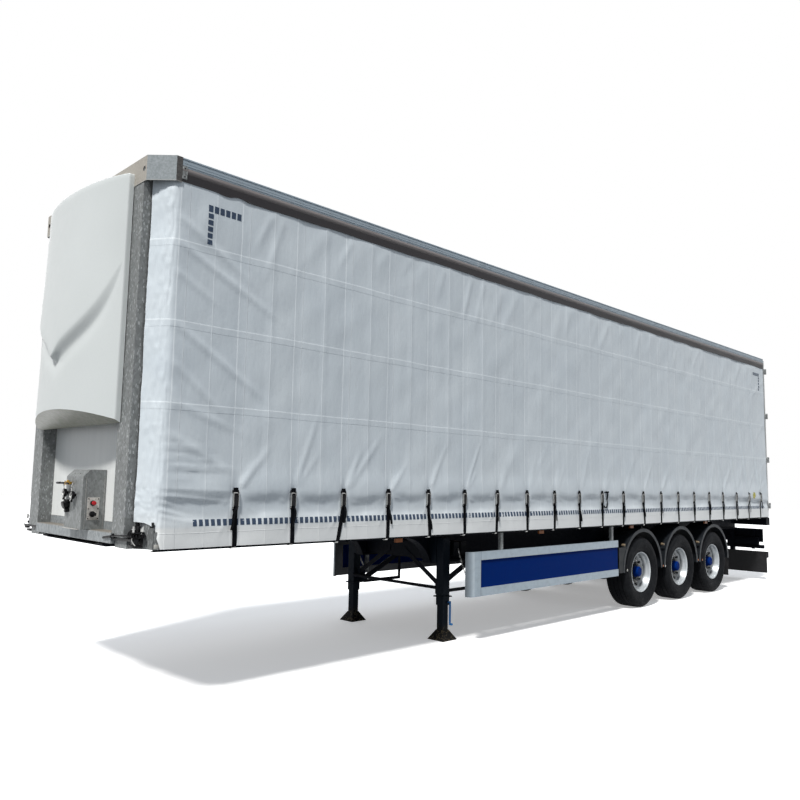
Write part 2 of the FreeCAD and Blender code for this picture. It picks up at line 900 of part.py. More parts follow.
def valance(side_name, side):
    """A rubber strip over the curtain's top: a bowed crown on a thin skirt that hangs from the rail."""
    bulge = cell("valance_crown_bulge")
    crown = cell("valance_crown_height")
    thick = cell("valance_skirt")
    drop = cell("valance_height")
    root, back = half_width - bulge, half_width - bulge - thick * 1.5
    radius = (crown * crown / 4 + bulge * bulge) / (bulge * 2)
    middle = ((half_width - radius) * side, rail_bottom - crown / 2)
    face = back + thick
    foot = rail_bottom - drop
    points = [
        (back * side, rail_bottom), (root * side, rail_bottom),
        (root * side, rail_bottom - crown, middle, -side), (face * side, rail_bottom - crown),
        (face * side, foot), (back * side, foot),
    ]
    return prism("valance_" + side_name, "YZ_Plane", points, rail_rear, rail_front)


sub_part("roof_rails", grouped("roof_rails", [cant_rail(*side) for side in SIDES]))
sub_part("roof_bows", grouped("roof_bows", roof_bows()))
sheet_top = roof_top - 9
sub_part("roof_sheet", box("roof_sheet", (rail_rear, rail_front), (-rail_inner, rail_inner),
                           (sheet_top - cell("roof_sheet_thickness"), sheet_top)))
sub_part("roof_valances", grouped("roof_valances", [valance(*side) for side in SIDES]))

# ---------------------------------------------------------------- curtains

curtain_outer = half_width - cell("curtain_outside")
curtain_inner = curtain_outer - cell("curtain_thickness")
curtain_top = rail_bottom - 0.3


def curtain(side_name, side):
    """One curtain: a thin closed sheet that wraps the chamfered front corner."""
    thick = cell("curtain_thickness")
    lead = cell("curtain_lead")
    lead_y = post_outer + 14
    bend = cell("corner_chamfer") + 10
    rear = post_front_x
    plan = [
        (rear, curtain_inner * side), (station(bend + thick * 0.4), curtain_inner * side),
        (station(lead + thick), lead_y * side), (station(lead), (lead_y + thick * 0.4) * side),
        (station(bend), curtain_outer * side), (rear, curtain_outer * side),
    ]
    sheet_body = prism("curtain_cloth_" + side_name, "XY_Plane", plan, cell("curtain_bottom"), curtain_top)
    reach = cell("curtain_cut_station")
    height = cell("curtain_cut_height")
    round_off = cell("curtain_cut_radius")
    foot = cell("curtain_bottom") - 1
    notch_points = [
        (station(0), foot), (station(0), height), (station(reach - round_off), height),
        (station(reach), height - round_off, (station(reach - round_off), height - round_off), 1),
        (station(cell("curtain_cut_foot")), foot),
    ]
    low, high = between(post_outer - 50, half_width, side)
    notch = prism("curtain_notch_" + side_name, "XZ_Plane", notch_points, low, high)
    return cut("curtain_" + side_name, sheet_body, notch)


for side_name, side in SIDES:
    sub_part("curtain_" + side_name, curtain(side_name, side))


def strap_stations():
    """The middle of each strap, front to rear."""
    count = int(float(cell("strap_count")))
    return [cell("strap_first") + cell("strap_pitch") * number for number in range(count)]


def straps():
    """Webbing straps, each folded under the rave into a steel hook."""
    pieces = []
    half = cell("strap_width") / 2
    near = curtain_outer + 0.3
    far = near + cell("strap_thickness")
    for side_name, side in SIDES:
        for number, place in enumerate(strap_stations()):
            points = [
                (near * side, cell("buckle_bottom")), (far * side, cell("buckle_bottom")),
                (far * side, cell("hook_bottom")), ((rave_outer - 20) * side, cell("hook_bottom")),
                ((rave_outer - 20) * side, rave_bottom), ((rave_outer - 12) * side, rave_bottom),
                ((rave_outer - 12) * side, cell("hook_bottom") + 3), (near * side, cell("hook_bottom") + 3),
            ]
            x = station(place)
            pieces.append(prism("strap_%s_%d" % (side_name, number), "YZ_Plane", points, x - half, x + half))
    return pieces


def buckles():
    """Over-centre buckles, one at the top of each strap."""
    pieces = []
    half = cell("strap_width") / 2 + 3
    near = curtain_outer + 0.3
    thick = cell("buckle_thickness")
    low, high = cell("buckle_bottom"), cell("buckle_top")
    for side_name, side in SIDES:
        for number, place in enumerate(strap_stations()):
            across = [(0, low), (0, high), (thick * 0.5, high), (thick, high - 30), (thick, low + 50),
                      (thick * 0.5, low)]
            points = [((near + out) * side, up) for out, up in across]
            x = station(place)
            pieces.append(prism("buckle_%s_%d" % (side_name, number), "YZ_Plane", points, x - half, x + half))
    return pieces


sub_part("curtain_straps", grouped("curtain_straps", straps()))
sub_part("curtain_buckles", grouped("curtain_buckles", buckles()))


def tensioner(side_name, side):
    """The pole behind the curtain's front edge, its ratchet on the post's side and the stowed lever."""
    x = station(cell("tensioner_station"))
    y = post_outer + cell("tensioner_standoff")
    foot = cell("bolster_bottom") + cell("corner_foot_plate")
    pole = rod("tension_pole_" + side_name, "z", (x, y * side, foot), cell("tensioner_radius"),
               header_bottom - foot - 2)
    width = cell("ratchet_width")
    low, high = between(post_outer, post_outer + width, side)
    ratchet = rod("ratchet_" + side_name, "y", (x + 20, low, cell("ratchet_height")),
                  cell("ratchet_radius"), width)
    lever_z = cell("tension_lever_height")
    front = station(10)
    low, high = between(post_outer + 4, post_outer + 14, side)
    link = box("tension_link_" + side_name, (x, front), (low, high), (lever_z - 9, lever_z + 9))
    low, high = between(cell("tension_lever_inner"), cell("tension_lever_outer"), side)
    lever = box("tension_lever_" + side_name, (front - 12, front), (low, high), (lever_z - 9, lever_z + 9))
    return fused("tensioner_" + side_name, [pole, ratchet, link, lever])


sub_part("curtain_tensioners", grouped("curtain_tensioners", [tensioner(*side) for side in SIDES]))


def side_pillars():
    """Three loose pillars a side, from the rave up to the cant rail, inside the curtain."""
    pieces = []
    for side_name, side in SIDES:
        for number, share in enumerate((0.25, 0.5, 0.75)):
            x = front_x + (post_front_x - front_x) * share
            low, high = between(floor_edge, rave_outer, side)
            pieces.append(box("pillar_%s_%d" % (side_name, number),
                              (x - cell("pillar_depth") / 2, x + cell("pillar_depth") / 2),
                              (low, high), (deck, rail_bottom)))
    return pieces


sub_part("side_pillars", grouped("side_pillars", side_pillars()))

# ---------------------------------------------------------------- rear frame and doors

rear_post_outer = half_width - cell("rear_post_inset")
rear_top = roof_top - cell("rear_header_drop")
door_bottom = rave_bottom + cell("door_foot_gap")
door_top = rear_top - cell("door_top_gap")


def hinge_heights():
    """The middle of each of the four hinges on a door."""
    span = door_top - door_bottom
    return [door_bottom + span * share for share in (0.07, 0.36, 0.64, 0.93)]


def rear_frame():
    """A welded portal with the fixed half of every hinge on its outer faces."""
    inner = rear_post_outer - cell("rear_post_width")
    pieces = []
    for side_name, side in SIDES:
        low, high = between(inner, rear_post_outer, side)
        pieces.append(box("rear_post_" + side_name, (post_rear_x, post_front_x), (low, high),
                          (rave_bottom, rear_top)))
        for number, z in enumerate(hinge_heights()):
            half = cell("hinge_knuckle") / 2
            low, high = between(rear_post_outer, rear_post_outer + cell("hinge_plate"), side)
            leaf = box("leaf_%s_%d" % (side_name, number), (hinge_x, post_front_x), (low, high),
                       (z - half, z + half))
            knuckle = rod("knuckle_%s_%d" % (side_name, number), "z", (hinge_x, hinge_y * side, z - half),
                          cell("hinge_radius"), half * 2)
            hinge_pin = rod("hinge_pin_%s_%d" % (side_name, number), "z",
                            (hinge_x, hinge_y * side, z - cell("hinge_height") / 2),
                            cell("hinge_pin_radius"), cell("hinge_height"))
            pieces += [leaf, knuckle, hinge_pin]
    pieces.append(box("rear_header", (post_rear_x, post_front_x), (-inner, inner),
                      (rear_top - cell("rear_header_height"), rear_top)))
    pieces.append(box("rear_floor_beam", (post_rear_x, post_front_x), (-inner, inner), (rave_bottom, deck)))
    return fused("rear_frame", pieces)


sub_part("rear_frame", rear_frame())
sub_part("rear_sill", box("rear_sill", (door_outer_x, sill_front_x),
                          (-rear_post_outer, rear_post_outer), (cell("sill_bottom"), rave_bottom)))


def rear_door(side_name, side):
    """A flat panel door that covers its half of the rear frame."""
    low, high = between(cell("door_middle_gap"), hinge_y - cell("door_edge_gap"), side)
    return box("rear_door_" + side_name, (door_outer_x, door_inner_x), (low, high), (door_bottom, door_top))


def moving_hinge(side_name, side, number, middle):
    """A cranked strap on the door's outer face with two bored knuckles."""
    thick = cell("hinge_plate")
    face = door_outer_x
    half = cell("hinge_height") / 2
    gap = cell("hinge_knuckle") / 2 + 1
    crank = 32
    low, high = between(hinge_y - cell("hinge_strap"), hinge_y - crank, side)
    flat = box("strap_flat_%s_%d" % (side_name, number), (face - thick, face), (low, high),
               (middle - half, middle + half))
    pieces = [flat]
    for end, (foot, top) in enumerate(((middle - half, middle - gap), (middle + gap, middle + half))):
        name = "%s_%d_%d" % (side_name, number, end)
        plan = [
            (face, (hinge_y - crank) * side), (face, (hinge_y - 22) * side),
            (hinge_x + 9, hinge_y * side), (hinge_x, (hinge_y - 9) * side),
            (face - thick, (hinge_y - crank + 1) * side), (face - thick, (hinge_y - crank - 2) * side),
            (face, (hinge_y - crank - 2) * side),
        ]
        arm = prism("crank_" + name, "XY_Plane", plan, foot, top)
        knuckle = rod("door_knuckle_" + name, "z", (hinge_x, hinge_y * side, foot),
                      cell("hinge_radius"), top - foot)
        pieces += [arm, knuckle]
    bore = rod("hinge_bore_%s_%d" % (side_name, number), "z", (hinge_x, hinge_y * side, middle - half - 1),
               cell("hinge_pin_radius") + cell("hinge_fit"), cell("hinge_height") + 2)
    return cut("moving_hinge_%s_%d" % (side_name, number), fused("strap_%s_h%d" % (side_name, number), pieces),
               bore)


def lock_rod(side_name, side, number, offset):
    """A turning lock rod in its guides, with a cam at each end and a flat handle."""
    radius = cell("rod_radius")
    x = door_outer_x - cell("rod_standoff")
    y = hinge_y - offset
    bar = rod("rod_%s_%d" % (side_name, number), "z", (x, y * side, cell("rod_bottom")), radius,
              door_top - 30 - cell("rod_bottom"))
    pieces = [bar]
    for guide, share in enumerate((0.05, 0.35, 0.62, 0.95)):
        z = door_bottom + (door_top - door_bottom) * share
        low, high = between(y - 30, y + 30, side)
        pieces.append(box("guide_%s_%d_%d" % (side_name, number, guide), (x - 6, door_outer_x), (low, high),
                          (z - 25, z + 25)))
    low, high = between(y, y + cell("rod_handle_length"), side)
    grip = door_bottom + cell("rod_handle_height")
    pieces.append(box("handle_%s_%d" % (side_name, number), (x - 5, x + 5), (low, high),
                      (grip - 15, grip + 15)))
    return fused("lock_rod_%s_%d" % (side_name, number), pieces)


for side_name, side in SIDES:
    sub_part("rear_door_" + side_name, rear_door(side_name, side))
    gear = [moving_hinge(side_name, side, number, z) for number, z in enumerate(hinge_heights())]
    gear.append(lock_rod(side_name, side, 0, cell("rod_inner")))
    gear.append(lock_rod(side_name, side, 1, cell("rod_outer")))
    sub_part("door_gear_" + side_name, grouped("door_gear_" + side_name, gear))

# ---------------------------------------------------------------- landing legs

leg_x = station(cell("leg_station"))
leg_y = cell("leg_half_spacing")
stay_y = beam_y + cell("beam_flange_width") / 2 - cell("stay_inset")


def leg_outer(side_name, side):
    """A square outer tube with its collar, its bracket on the main beam's web and the lugs for its braces."""
    half = cell("leg_outer_size") / 2
    inner_half = cell("leg_inner_size") / 2
    y = leg_y * side
    tube = box("leg_tube_" + side_name, (leg_x - half, leg_x + half), (y - half, y + half),
               (cell("leg_outer_bottom"), cell("leg_top")))
    bore = box("leg_bore_" + side_name, (leg_x - inner_half, leg_x + inner_half),
               (y - inner_half, y + inner_half), (cell("leg_outer_bottom") - 1, cell("leg_top") - 8))
    low, high = between(beam_y + cell("beam_web") / 2, leg_y - half, side)
    reach = cell("leg_bracket_half_length")
    bracket = box("leg_bracket_" + side_name, (leg_x - reach, leg_x + reach), (low, high),
                  (beam_bottom + cell("beam_flange"), beam_top - cell("beam_flange")))
    low, high = between(leg_y - half - cell("brace_lug"), leg_y - half, side)
    foot = cell("brace_foot_height")
    lug = box("leg_lug_" + side_name, (leg_x - cell("brace_thickness"), leg_x), (low, high),
              (foot - cell("brace_lug"), foot + cell("brace_lug")))
    low, high = between(stay_y - cell("stay_thickness"), leg_y - half, side)
    rear_lug = box("leg_rear_lug_" + side_name, (leg_x - half, leg_x - half + 12), (low, high),
                   (cell("stay_bottom"), cell("stay_bottom") + cell("stay_height") * 4))
    wide = cell("leg_collar_size") / 2
    collar_z = cell("leg_collar_height")
    collar = box("leg_collar_" + side_name, (leg_x - wide, leg_x + wide), (y - wide, y + wide),
                 (collar_z, collar_z + 12))
    casing = fused("leg_casing_" + side_name, [tube, collar])
    hollow = cut("leg_hollow_" + side_name, casing, bore)
    return fused("leg_outer_" + side_name, [hollow, bracket, lug, rear_lug])


def leg_foot(side_name, side):
    """The sliding inner tube and its pressed foot, wide at the ground."""
    y = leg_y * side
    half = cell("leg_inner_size") / 2
    foot = cell("foot_height")
    tube = box("leg_inner_" + side_name, (leg_x - half, leg_x + half), (y - half, y + half),
               (foot - 10, cell("leg_outer_bottom") + cell("leg_overlap")))
    wide, narrow = cell("foot_size") / 2, cell("foot_top_size") / 2
    wedge = doc.addObject("Part::Wedge", "foot_" + side_name)
    for path, value in (("Xmin", -wide), ("Xmax", wide), ("Zmin", -wide), ("Zmax", wide),
                        ("X2min", -narrow), ("X2max", narrow), ("Z2min", -narrow), ("Z2max", narrow),
                        ("Ymin", 0), ("Ymax", foot)):
        bind(wedge, path, value)
    wedge.Placement = Placement(Vector(), Rotation(Vector(1, 0, 0), 90))
    bind(wedge, "Placement.Base.x", leg_x)
    bind(wedge, "Placement.Base.y", y)
    return fused("leg_foot_" + side_name, [tube, wedge])


def flat_bar(name, start, end, width, front):
    """A flat bar seen along X: a parallelogram from a start to an end point (y, z), behind a plane."""
    half = width / 2
    points = [(start[0], start[1] - half), (end[0], end[1] - half), (end[0], end[1] + half),
              (start[0], start[1] + half)]
    return prism(name, "YZ_Plane", points, front - cell("brace_thickness"), front)


def leg_stay(side_name, side):
    """A stay behind a leg: a level bar, a brace that rises to the main beam and an upright at its end."""
    start = leg_x - cell("leg_outer_size") / 2
    end = start - cell("stay_length")
    low = cell("stay_bottom")
    bar = cell("stay_height")
    points = [
        (start, low), (start, low + bar * 2.5), (end + bar * 2, beam_bottom), (end, beam_bottom), (end, low),
    ]
    inner = [
        (start - bar * 0.9, low + bar), (end + bar, low + bar), (end + bar, beam_bottom - bar * 1.4),
    ]
    low_y, high_y = between(stay_y - cell("stay_thickness"), stay_y, side)
    whole = prism("leg_stay_plate_" + side_name, "XZ_Plane", points, low_y, high_y)
    window = prism("leg_stay_window_" + side_name, "XZ_Plane", inner, low_y - 1, high_y + 1)
    return cut("leg_stay_" + side_name, whole, window)


def leg_braces():
    """The cross shaft, the legs' diagonals, the cross channel that they meet and the stays behind."""
    inner_face = leg_y - cell("leg_outer_size") / 2
    shaft_radius = cell("leg_shaft_radius")
    pieces = [rod("leg_shaft", "y", (leg_x + shaft_radius * 2, -inner_face, cell("leg_shaft_height")),
                  shaft_radius, inner_face * 2)]
    lug_back = leg_x - cell("brace_thickness")
    width = cell("brace_width")
    top = cell("brace_top_height")
    for side_name, side in SIDES:
        start = ((inner_face - cell("brace_lug") / 4) * side, cell("brace_foot_height"))
        end = (cell("brace_top_spread") * side, top)
        pieces.append(flat_bar("leg_diagonal_" + side_name, start, end, width, lug_back))
        pieces.append(leg_stay(side_name, side))
    across = channel_points(lug_back - cell("brace_thickness"), top + width * 1.5, cell("member_width"),
                            width * 3, cell("member_wall"))
    web_face = beam_y - cell("beam_web") / 2
    pieces.append(prism("leg_cross_channel", "XZ_Plane", across, -web_face, web_face))
    return pieces


sub_part("landing_legs", grouped("landing_legs", [leg_outer(*side) for side in SIDES]))
sub_part("landing_feet", grouped("landing_feet", [leg_foot(*side) for side in SIDES]))
sub_part("leg_braces", grouped("leg_braces", leg_braces()))


def leg_crank():
    """The winding handle on the nearside leg: a short shaft, a flat arm hanging down and a round grip."""
    y = leg_y + cell("leg_outer_size") / 2
    x = leg_x - cell("leg_outer_size") / 2 + 16
    top = cell("crank_shaft_height")
    foot = top - cell("crank_drop")
    return fused("leg_crank", [
        rod("crank_shaft", "y", (x, y, top), 11, 34),
        box("crank_arm", (x - 12, x + 12), (y + 22, y + 32), (foot, top + 12)),
        rod("crank_grip", "y", (x, y + 22, foot + 10), 13, cell("crank_grip_length")),
    ])


sub_part("leg_crank", leg_crank())

# ---------------------------------------------------------------- side guards

guard_outer = half_width - cell("guard_outside")
guard_inner = guard_outer - cell("guard_rail_depth")
guard_front_x = station(cell("guard_front"))
guard_rear_x = station(cell("guard_rear"))


def guard_frame(side_name, side):
    """Two long rails joined at the front by a tall nose with a rounded edge."""
    nose = cell("guard_nose")
    radius = cell("guard_nose_radius")
    wall = cell("guard_rail_depth")
    pieces = []
    low, high = between(guard_inner, guard_outer, side)
    rail = cell("guard_rail_height")
    for number, (foot, top) in enumerate((
            (cell("guard_bottom"), cell("guard_bottom") + rail),
            (cell("guard_top") - rail, cell("guard_top")))):
        pieces.append(box("guard_rail_%s_%d" % (side_name, number), (guard_rear_x, guard_front_x - nose),
                          (low, high), (foot, top)))
    middle = (guard_front_x - radius, (guard_outer - radius) * side)
    points = [
        (guard_front_x - nose, guard_inner * side), (guard_front_x - nose, guard_outer * side),
        (guard_front_x - radius, guard_outer * side),
        (guard_front_x, (guard_outer - radius) * side, middle, -side),
        (guard_front_x - wall, (guard_outer - radius) * side),
        (guard_front_x - radius, guard_inner * side, middle, side),
    ]
    pieces.append(prism("guard_nose_" + side_name, "XY_Plane", points, cell("guard_bottom"), cell("guard_top")))
    return fused("guard_frame_" + side_name, pieces)


def guard_panel(side_name, side):
    """The infill between the two rails."""
    rail = cell("guard_rail_height")
    low, high = between(guard_outer - 12 - cell("guard_panel_thickness"), guard_outer - 12, side)
    return box("guard_panel_" + side_name, (guard_rear_x, guard_front_x - cell("guard_nose")), (low, high),
               (cell("guard_bottom") + rail, cell("guard_top") - rail))


def guard_brackets():
    """Channel hangers from the raves down to the guard rails."""
    pieces = []
    for side_name, side in SIDES:
        low, high = between(guard_inner - 40, guard_inner, side)
        half = cell("guard_bracket_width") / 2
        for number in (0, 1):
            x = station(cell("guard_bracket_first") + cell("guard_bracket_pitch") * number)
            pieces.append(box("guard_bracket_%s_%d" % (side_name, number), (x - half, x + half), (low, high),
                              (cell("guard_bottom") + 20, rave_bottom)))
    return pieces


sub_part("sideguard_frames", grouped("sideguard_frames", [guard_frame(*side) for side in SIDES]))
sub_part("sideguard_panels", grouped("sideguard_panels", [guard_panel(*side) for side in SIDES]))
sub_part("sideguard_brackets", grouped("sideguard_brackets", guard_brackets()))

# ---------------------------------------------------------------- axles and suspension

wheel_z = cell("tyre_radius")
wheel_y = half_width - cell("tyre_outside") - cell("tyre_width") / 2
AXLES = (0, 1, 2)


def axle_x(number):
    """X of an axle's centre line."""
    return station(cell("first_axle") + cell("axle_pitch") * number)


def axle(number):
    """A tubular axle with a turned-down spindle at each end."""
    x = axle_x(number)
    shoulder = wheel_y - cell("spindle_length")
    tube = rod("axle_tube_%d" % number, "y", (x, -shoulder, wheel_z), cell("axle_radius"), shoulder * 2)
    reach = wheel_y + cell("cap_end") - 30
    spindle = rod("spindle_%d" % number, "y", (x, -reach, wheel_z), cell("hub_bore") - cell("spindle_gap"),
                  reach * 2)
    pieces = [tube, spindle]
    for side_name, side in SIDES:
        pieces.append(rod("brake_chamber_%s_%d" % (side_name, number), "x",
                          (x + 40, (beam_y - cell("chamber_inset")) * side, wheel_z + 30),
                          cell("chamber_radius"), cell("chamber_length")))
    return fused("axle_%d" % number, pieces)


def trailing_arm(number, side_name, side):
    """The arm that runs back from the hanger, over the axle, to the air spring's seat."""
    x = axle_x(number)
    half = cell("arm_width") / 2
    low, high = between(beam_y - half, beam_y + half, side)
    pivot_x = x + cell("arm_pivot_ahead")
    pivot_z = cell("arm_pivot_height")
    seat_x = x - cell("spring_behind")
    over = wheel_z + cell("axle_radius")
    top = cell("spring_bottom")
    return prism("arm_%s_%d" % (side_name, number), "XZ_Plane", [
        (pivot_x + 45, pivot_z - 50), (pivot_x + 45, pivot_z + 30), (pivot_x - 45, pivot_z + 40),
        (x + 100, over + 62), (x - 80, over + 62), (seat_x + 130, top), (seat_x - 90, top),
        (seat_x - 90, top - 30), (seat_x + 130, top - 40), (x - 80, over), (x + 100, over),
        (pivot_x - 45, pivot_z - 50),
    ], low, high)


def hanger(number, side_name, side):
    """Two cheeks under the beam that hold the arm's pivot."""
    x = axle_x(number) + cell("arm_pivot_ahead")
    half = cell("arm_width") / 2
    z = cell("arm_pivot_height")
    low, high = between(beam_y - half - 12, beam_y + half + 12, side)
    block = box("hanger_%s_%d" % (side_name, number), (x - 80, x + 80), (low, high), (z + 46, beam_bottom))
    pieces = [block]
    for cheek, edge in enumerate((beam_y - half - 12, beam_y + half)):
        low, high = between(edge, edge + 12, side)
        pieces.append(box("cheek_%s_%d_%d" % (side_name, number, cheek), (x - 60, x + 60), (low, high),
                          (z - 60, z + 60)))
    return fused("hanger_%s_whole_%d" % (side_name, number), pieces)


def air_spring(number, side_name, side):
    """A rolling-lobe air spring between the arm's seat and the beam."""
    x = axle_x(number) - cell("spring_behind")
    low, high = cell("spring_bottom"), beam_bottom
    radius = cell("spring_radius")
    rise = high - low
    return turned("air_spring_%s_%d" % (side_name, number), "XZ_Plane", [
        (0, 0), (radius * 0.66, 0), (radius * 0.6, rise * 0.3), (radius, rise * 0.42), (radius, rise * 0.9),
        (radius * 0.8, rise), (0, rise),
    ], (x, beam_y * side, low))


sub_part("axles", grouped("axles", [axle(number) for number in AXLES]))
ARMS = [(number, side_name, side) for number in AXLES for side_name, side in SIDES]
sub_part("trailing_arms", grouped("trailing_arms", [trailing_arm(*spot) for spot in ARMS]))
sub_part("main_beams", grouped("main_beams", [
    main_beam(side_name, side, [hanger(number, side_name, side) for number in AXLES])
    for side_name, side in SIDES]))
sub_part("air_springs", grouped("air_springs", [air_spring(*spot) for spot in ARMS]))

# ---------------------------------------------------------------- wheels


def tyre(number, side_name, side):
    """A wide single tyre: bead, bulged wall, rounded shoulder and flat tread."""
    outer = cell("tyre_radius")
    half = cell("tyre_width") / 2
    bead = cell("rim_radius")
    across = [
        (bead, 0.62), (bead + 30, 0.80), (bead + 95, 0.98), (outer - 110, 1.0), (outer - 50, 0.95),
        (outer - 12, 0.84), (outer, 0.72),
    ]
    upper = [(radius, half * share) for radius, share in across]
    lower = [(radius, -half * share) for radius, share in reversed(across)]
    return turned("tyre_%s_%d" % (side_name, number), "XY_Plane", upper + lower,
                  (axle_x(number), wheel_y * side, wheel_z))


def wheel(number, side_name, side):
    """A deep-dished steel rim with its disc, brake drum, hub and hub cap."""
    bead = cell("rim_radius") - 0.5
    flange = cell("rim_flange_radius")
    half = cell("rim_half_width")
    wall = cell("rim_wall")
    well = bead - 26
    disc = cell("disc_radius")
    thick = cell("disc_thickness")
    hub = cell("hub_radius")
    bore = cell("hub_bore")
    drum = cell("drum_radius")
    cap = cell("cap_radius")
    end = cell("cap_end")
    tread_seat = cell("tyre_width") / 2 * 0.62 - 1
    points = [
        (bore, end - 20), (bore, -160), (hub, -160), (hub, -60), (drum, -60), (drum, -200), (drum + 10, -200),
        (drum + 10, -40), (hub, -40), (hub, -4), (disc, -4), (well - wall, -14), (well - wall - 2, -half + 40),
        (bead - wall, -half + 12), (bead - wall, -half), (flange, -half), (flange, -tread_seat - 22),
        (bead, -tread_seat - 16), (bead, -60), (well, -46), (well, 60), (bead, 80), (bead, tread_seat + 16),
        (flange, tread_seat + 22), (flange, half), (bead - wall, half), (bead - wall, 90),
        (well - wall, 70), (well - wall, 10), (disc, thick), (hub, thick), (hub - 8, thick + 40),
        (cap + 14, thick + 48), (cap, end - 8), (cap - 12, end), (0, end), (0, end - 20),
    ]
    return turned("wheel_%s_%d" % (side_name, number), "XY_Plane",
                  [(radius, away * side) for radius, away in points],
                  (axle_x(number), wheel_y * side, wheel_z))


for number in AXLES:
    for side_name, side in SIDES:
        sub_part("tyre_%s_%d" % (side_name, number + 1), tyre(number, side_name, side))
        sub_part("rim_%s_%d" % (side_name, number + 1), wheel(number, side_name, side))

# ---------------------------------------------------------------- mudguards


def mudguard(number, side_name, side):
    """A half-round guard with a turned-in lip along its outer edge."""
    x = axle_x(number)
    z = cell("guard_arc_height")
    outer = cell("guard_arc_radius")
    inner = outer - cell("guard_arc_wall")
    rim_inner = outer - cell("guard_arc_lip")
    edge = wheel_y + cell("tyre_width") / 2
    middle = (x, z)

    def half_ring(small):
        return [
            (x + outer, z), (x, z + outer, middle, 1), (x - outer, z, middle, 1), (x - small, z),
            (x, z + small, middle, -1), (x + small, z, middle, -1),
        ]

    low, high = between(edge - cell("guard_arc_width"), edge - 10, side)
    band = prism("guard_band_%s_%d" % (side_name, number), "XZ_Plane", half_ring(inner), low, high)
    low, high = between(edge - 10, edge, side)
    lip = prism("guard_lip_%s_%d" % (side_name, number), "XZ_Plane", half_ring(rim_inner), low, high)
    pieces = [band, lip]
    if number == 0:
        pieces.append(guard_filler(side_name, side, x, z, outer - cell("guard_arc_wall"), edge - 10))
    return fused("mudguard_%s_%d" % (side_name, number), pieces)


def guard_filler(side_name, side, x, z, radius, outside):
    """The flat panel ahead of the first guard, between its arc and an upright edge."""
    top = cell("guard_filler_top")
    ahead = x + cell("guard_filler_reach")
    points = [
        (ahead, z), (ahead, top), (x + third_side(radius, top - z), top), (x + radius, z, (x, z), -1),
    ]
    low, high = between(outside, outside + cell("guard_filler_wall"), side)
    return prism("guard_filler_" + side_name, "XZ_Plane", points, low, high)


def mudflap(side_name, side):
    """A rubber flap under the rear end of the last guard."""
    x = axle_x(AXLES[-1]) - cell("guard_arc_radius")
    edge = wheel_y + cell("tyre_width") / 2
    low, high = between(edge - cell("guard_arc_width"), edge - 12, side)
    return box("mudflap_" + side_name, (x, x + cell("flap_thickness")), (low, high),
               (cell("flap_bottom"), cell("guard_arc_height")))


def guard_stay(number, side_name, side):
    """A round tube from the beam out to the crown of a guard."""
    x = axle_x(number)
    z = cell("guard_arc_height") + cell("guard_arc_radius") + 20
    edge = wheel_y + cell("tyre_width") / 2
    start, reach = beam_y + cell("beam_web") / 2, edge - 20
    low, high = between(start, reach, side)
    return rod("guard_stay_%s_%d" % (side_name, number), "y", (x, low, z), 20, reach - start)


sub_part("mudguards", grouped("mudguards", [mudguard(*spot) for spot in ARMS]))
sub_part("mudguard_stays", grouped("mudguard_stays", [guard_stay(*spot) for spot in ARMS]))

# ---------------------------------------------------------------- underrun, lamps and flaps


def underrun_frame():
    """Two uprights from the rear sill that carry the underrun bar."""
    rear = underrun_rear_x
    front = rear + cell("underrun_depth")
    half = cell("underrun_half_width")
    pieces = [box("underrun_bar", (rear, front), (-half, half),
                  (cell("underrun_bottom"), cell("underrun_top")))]
    for side_name, side in SIDES:
        low, high = between(beam_y - 120, beam_y - 40, side)
        pieces.append(box("underrun_leg_" + side_name, (rear + 10, front), (low, high),
                          (cell("underrun_top"), cell("sill_bottom"))))
    pieces.append(box("lamp_board", (board_front - board_depth, board_front),
                      (-cell("lamp_board_half_width"), cell("lamp_board_half_width")),
                      (cell("lamp_board_bottom"), cell("lamp_board_top"))))
    return fused("underrun_frame", pieces)


underrun_rear_x = from_rear(cell("underrun_from_rear"))
board_depth = cell("lamp_board_depth")
board_front = underrun_rear_x + board_depth
sub_part("underrun_frame", underrun_frame())


def rear_lamps():
    """A lamp cluster at each end of the board."""
    pieces = []
    for side_name, side in SIDES:
        reach = cell("lamp_board_half_width") - cell("lamp_inset")
        low, high = between(reach - cell("lamp_length"), reach, side)
        foot = cell("lamp_board_bottom") + cell("lamp_rise")
        pieces.append(box("rear_lamp_" + side_name, (underrun_rear_x - cell("lamp_depth"), underrun_rear_x),
                          (low, high), (foot, foot + cell("lamp_height"))))
    return pieces


def side_lamps():
    """Four marker lamps a side, under the raves."""
    pieces = []
    for side_name, side in SIDES:
        low, high = between(rave_outer - 30, rave_outer - 4, side)
        for number, place in enumerate((2900, 5486, 7851, 10500)):
            x = station(place)
            pieces.append(box("side_lamp_%s_%d" % (side_name, number), (x - 50, x + 50), (low, high),
                              (rave_bottom - 40, rave_bottom)))
    return pieces


sub_part("lamps", grouped("lamps", rear_lamps() + side_lamps()))

flaps = [mudflap(*side) for side in SIDES]
valance_back = underrun_rear_x + cell("underrun_depth")
flaps.append(box("rear_valance", (valance_back, valance_back + cell("flap_thickness")),
                 (-cell("underrun_half_width"), cell("underrun_half_width")),
                 (cell("valance_bottom"), cell("underrun_top"))))
sub_part("spray_flaps", grouped("spray_flaps", flaps))

# ---------------------------------------------------------------- air tanks and valve boxes


